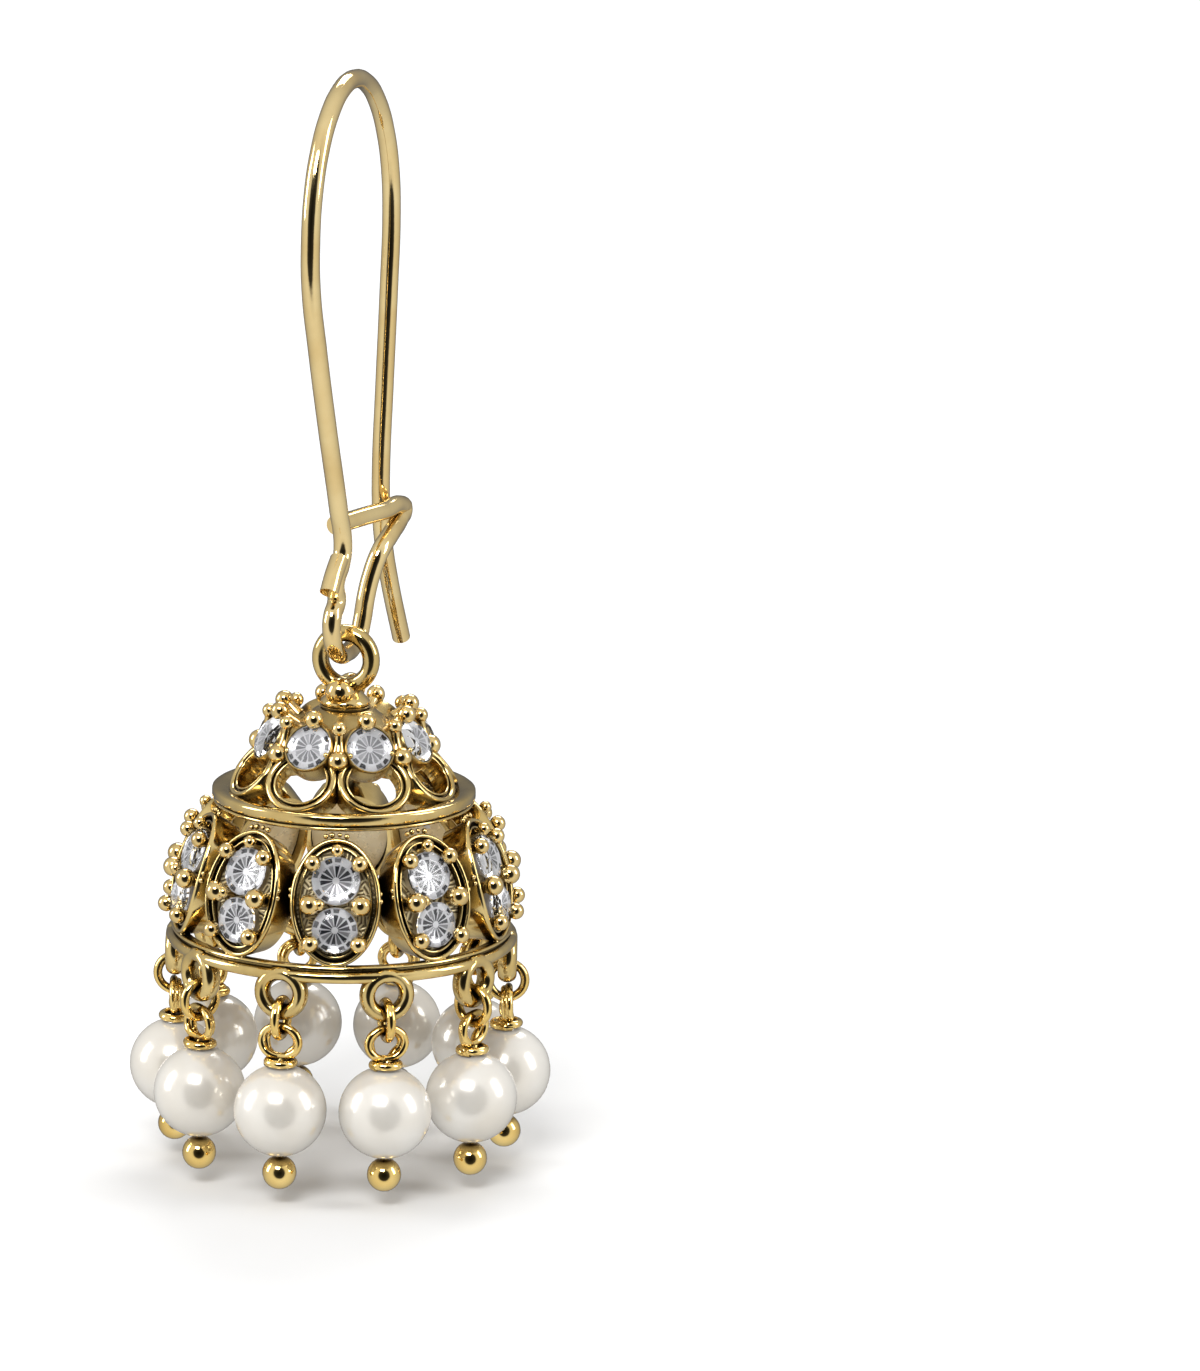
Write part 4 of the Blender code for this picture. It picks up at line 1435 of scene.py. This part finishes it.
@dataclass
class PearlDrops:
    """Loops under the rim, and the jump ring, pin and pearl that hang on each."""

    form: BellForm
    radius: float = 9.12
    lug_level: float = -47.97
    jump_level: float = -49.385
    eye_level: float = -50.675
    pearl_level: float = -54.525
    ball_level: float = -58.0
    lug_outer: float = 3.02
    lug_band: float = 0.84
    lug_depth: float = 1.05
    jump_outer: float = 2.48
    jump_wire: float = 0.5
    jump_cut: float = 0.03
    jump_turn: float = 0.5
    pin_wire: float = 0.44
    eye_width: float = 2.5
    eye_height: float = 2.16
    eye_inner: float = 0.84
    coil_width: float = 1.85
    coil_rise: float = 0.30
    coil_fall: float = 0.16
    pearl_width: float = 5.0
    bore: float = 0.62
    ball_width: float = 1.85

    def lug(self) -> Piece:
        """Thick loop about Z, with a broad round face."""
        middle = (self.lug_outer - self.lug_band) / 2
        return lathe("lug", oval_section(middle, 0, self.lug_band, self.lug_depth, 20), 56)

    def pin_route(self) -> list[Point]:
        """Route of the pin's wire: out of the pearl, twice round the eye and into a flat coil.

        Returns:
            Points of the wire's middle line.
        """
        top = self.pearl_level + self.pearl_width / 2
        points: list[Point] = [(0, 0, top - 0.8), (0, -0.1, top + 0.1)]
        half_width = (self.eye_width - self.pin_wire) / 2
        half_height = (self.eye_height - self.pin_wire) / 2
        for i in range(1, 20):
            a = -math.pi / 2 + FULL_TURN * i / 10
            side = self.pin_wire * (0.5 - i / 20)
            shrink = self.eye_inner if i < 9 else 1.0
            points.append((half_width * shrink * math.cos(a), side,
                           self.eye_level + half_height * shrink * math.sin(a)))
        reach = (self.coil_width - self.pin_wire) / 2
        for i in range(13):
            a = math.pi / 2 + FULL_TURN * i / 9
            share = min(1.0, 0.45 + i / 5)
            points.append((reach * share * math.cos(a), reach * share * math.sin(a),
                           top + self.coil_rise - self.coil_fall * min(1.0, i / 9)))
        return points

    def drop(self) -> dict[str, Piece]:
        """Model the pieces of one drop on the bell's axis, each under its name.

        Returns:
            The pieces by name.
        """
        jump = cut_ring("jump", (self.jump_outer - self.jump_wire) / 2, self.jump_wire,
                        self.jump_cut, 44)
        placed(jump, Matrix.Translation((0, 0, self.jump_level))
               @ Matrix.Rotation(self.jump_turn, 4, "X") @ Matrix.Rotation(math.pi / 2, 4, "Y"))
        wire = bent_wire("pin", self.pin_route(), self.pin_wire, detail=6)
        shank = post("shank", [(self.pin_wire / 2, 0.0), (self.pin_wire / 2, 1.0)],
                     Vector((0, 0, self.ball_level)), Vector((0, 0, self.pearl_level + 2.0)))
        low = ball("ball", self.ball_width, Matrix.Translation((0, 0, self.ball_level))
                   @ Matrix.Rotation(math.pi, 4, "X"), 32)
        pin = joined([wire, shank, low], "pin")
        rows: Profile = []
        edge = math.asin(self.bore / self.pearl_width)
        for i in range(25):
            a = edge + (math.pi - 2 * edge) * i / 24
            rows.append((self.pearl_width / 2 * math.sin(a), self.pearl_width / 2 * math.cos(a)))
        pearl = placed(lathe("pearl", rows, 48), Matrix.Translation((0, 0, self.pearl_level)))
        return {"jump": jump, "pin": pin, "pearl": pearl}

    def build(self) -> None:
        """Model one drop and copy it round the rim."""
        form = self.form
        places = [facing(a, self.radius, self.lug_level, 0) for a in form.drop_angles]
        seated(repeated(self.lug(), "rim_loops", places), ANTIQUE_GOLD, Body.BELL, crease=60.0)
        parts = self.drop()
        kinds = (("jump", "jump_link", BRIGHT_GOLD, "jump_ring"),
                 ("pin", "pearl_pin", BRIGHT_GOLD, "head_pin"),
                 ("pearl", "pearl_bead", NACRE, "pearl"))
        for i, angle in enumerate(form.drop_angles, 1):
            place = turned(angle) @ Matrix.Translation((0, -self.radius, 0))
            for key, word, finish, node in kinds:
                seated(copied(parts[key], f"{word}_{i}", place), finish, Body.BELL,
                       [f"{node}_{i}"], crease=60.0)
        spent(*parts.values())


@dataclass(frozen=True)
class Lamp:
    """A soft rectangular light."""

    name: str
    place: Point
    size: tuple[float, float]
    power: float

    def add(self, aim: Vector) -> None:
        """Hang the light and point it.

        Args:
            aim: What it points at.
        """
        light = bpy.data.lights.new(self.name, "AREA")
        light.shape = "RECTANGLE"
        light.size, light.size_y = self.size
        light.energy = self.power
        lamp = bpy.data.objects.new(self.name, light)
        bpy.context.scene.collection.objects.link(lamp)
        lamp.location = self.place
        lamp.rotation_euler = (aim - Vector(self.place)).to_track_quat("-Z", "Y").to_euler()


@dataclass
class Studio:
    """Pale floor, soft lights and the camera at the photograph's angle."""

    camera_place: Point = (0.095465, -0.277249, 0.031397)
    azimuth: float = math.radians(19.0)
    yaw: float = math.radians(2.7065)
    pitch: float = math.radians(12.3373)
    roll: float = math.radians(1.3791)
    focal_pixels: float = 5510.0
    frame_pixels: float = 1371.0
    floor_level: float = -0.0599
    floor_size: float = 6.0
    sensor: float = 36.0
    aim: Point = (0.0, 0.0, -0.03)
    lamps: tuple[Lamp, ...] = (
        Lamp("key_softbox", (0.3, -4.3, 4.0), (2.6, 1.7), 260.0),
        Lamp("left_softbox", (-4.6, -1.6, 1.6), (1.4, 3.0), 120.0),
        Lamp("right_softbox", (4.6, 0.5, 2.0), (1.4, 3.0), 90.0),
        Lamp("back_softbox", (-0.5, 4.0, 4.2), (3.6, 2.0), 160.0),
    )
    room: tuple[tuple[float, float], ...] = ((-1.0, 0.12), (-0.86, 0.30), (-0.55, 0.58),
                                             (0.0, 0.80), (0.55, 0.95), (0.72, 0.85),
                                             (0.82, 0.05), (1.0, 0.01))
    card_height: float = 0.16

    def camera(self) -> None:
        """Set the camera at the photograph's viewing angle."""
        turn = self.azimuth - self.yaw
        forward = Vector((-math.sin(turn) * math.cos(self.pitch),
                          math.cos(turn) * math.cos(self.pitch), -math.sin(self.pitch)))
        right = forward.cross(Vector((0, 0, 1))).normalized()
        up = right.cross(forward)
        cos, sin = math.cos(self.roll), math.sin(self.roll)
        right, up = right * cos + up * sin, up * cos - right * sin
        data = bpy.data.cameras.new("camera")
        data.sensor_width = self.sensor
        data.lens = self.focal_pixels * data.sensor_width / self.frame_pixels
        data.clip_start = 0.01
        data.clip_end = 20.0
        camera = bpy.data.objects.new("camera", data)
        bpy.context.scene.collection.objects.link(camera)
        basis = Matrix((right, up, -forward)).transposed().to_4x4()
        camera.matrix_world = Matrix.Translation(self.camera_place) @ basis
        bpy.context.scene.camera = camera

    def floor(self) -> None:
        """Lay the pale floor."""
        bpy.ops.object.select_all(action="DESELECT")
        bpy.ops.mesh.primitive_plane_add(size=self.floor_size, location=(0, 0, self.floor_level))
        floor = named("floor")
        desk = NodeDesk(bpy.data.materials.new("pale_floor"))
        tone = desk.mix(desk.noise(3.0), (0.655, 0.655, 0.655), (0.67, 0.67, 0.67))
        desk.wire(tone, desk.shader.inputs["Base Color"])
        desk.shader.inputs["Roughness"].default_value = 0.8
        desk.shader.inputs["Specular IOR Level"].default_value = 0.1
        floor.data.materials.append(desk.owner)
        floor.visible_glossy = False

    def sky(self) -> None:
        """Paint the room that the metal mirrors, with a dark card in front, seen as plain white."""
        world = bpy.data.worlds.new("room")
        bpy.context.scene.world = world
        desk = NodeDesk(world)
        place = desk.add("ShaderNodeTexCoord")
        card = Vector((math.sin(self.azimuth), -math.cos(self.azimuth), self.card_height))
        angle = desk.add("ShaderNodeVectorMath", operation="DOT_PRODUCT")
        desk.wire(place.outputs["Generated"], angle.inputs[0])
        angle.inputs[1].default_value = card.normalized()
        ramp = desk.add("ShaderNodeValToRGB")
        stops = ramp.color_ramp.elements
        while len(stops) > 1:
            stops.remove(stops[-1])
        for i, (cosine, value) in enumerate(self.room):
            spot = (cosine + 1) / 2
            stop = stops[0] if i == 0 else stops.new(spot)
            stop.position = spot
            stop.color = (value, value, value, 1.0)
        desk.wire(desk.span(angle.outputs["Value"], 0.0, 1.0, -1.0, 1.0), ramp.inputs["Fac"])
        path = desk.add("ShaderNodeLightPath")
        seen = desk.mix(path.outputs["Is Camera Ray"], ramp.outputs["Color"], (1.0, 1.0, 1.0))
        desk.wire(seen, desk.shader.inputs["Color"])

    def build(self) -> None:
        """Set the studio up."""
        bpy.context.scene.view_settings.view_transform = "Standard"
        self.camera()
        self.floor()
        self.sky()
        for lamp in self.lamps:
            lamp.add(Vector(self.aim))
        log.info("studio: %d lamps", len(self.lamps))


def main() -> None:
    """Build the earring's looks and its studio."""
    logging.basicConfig(level=logging.INFO, format="%(name)s %(message)s")
    form = BellForm()
    EarWire().build()
    Hanger(form).build()
    Crown(form, CutStone(dimness=0.24)).build()
    Scallops(form).build()
    Bands(form).build()
    Panels(form, CutStone(width=2.62), CutStone(width=2.46)).build()
    PearlDrops(form).build()
    Studio().build()


if __name__ == "__main__":
    main()
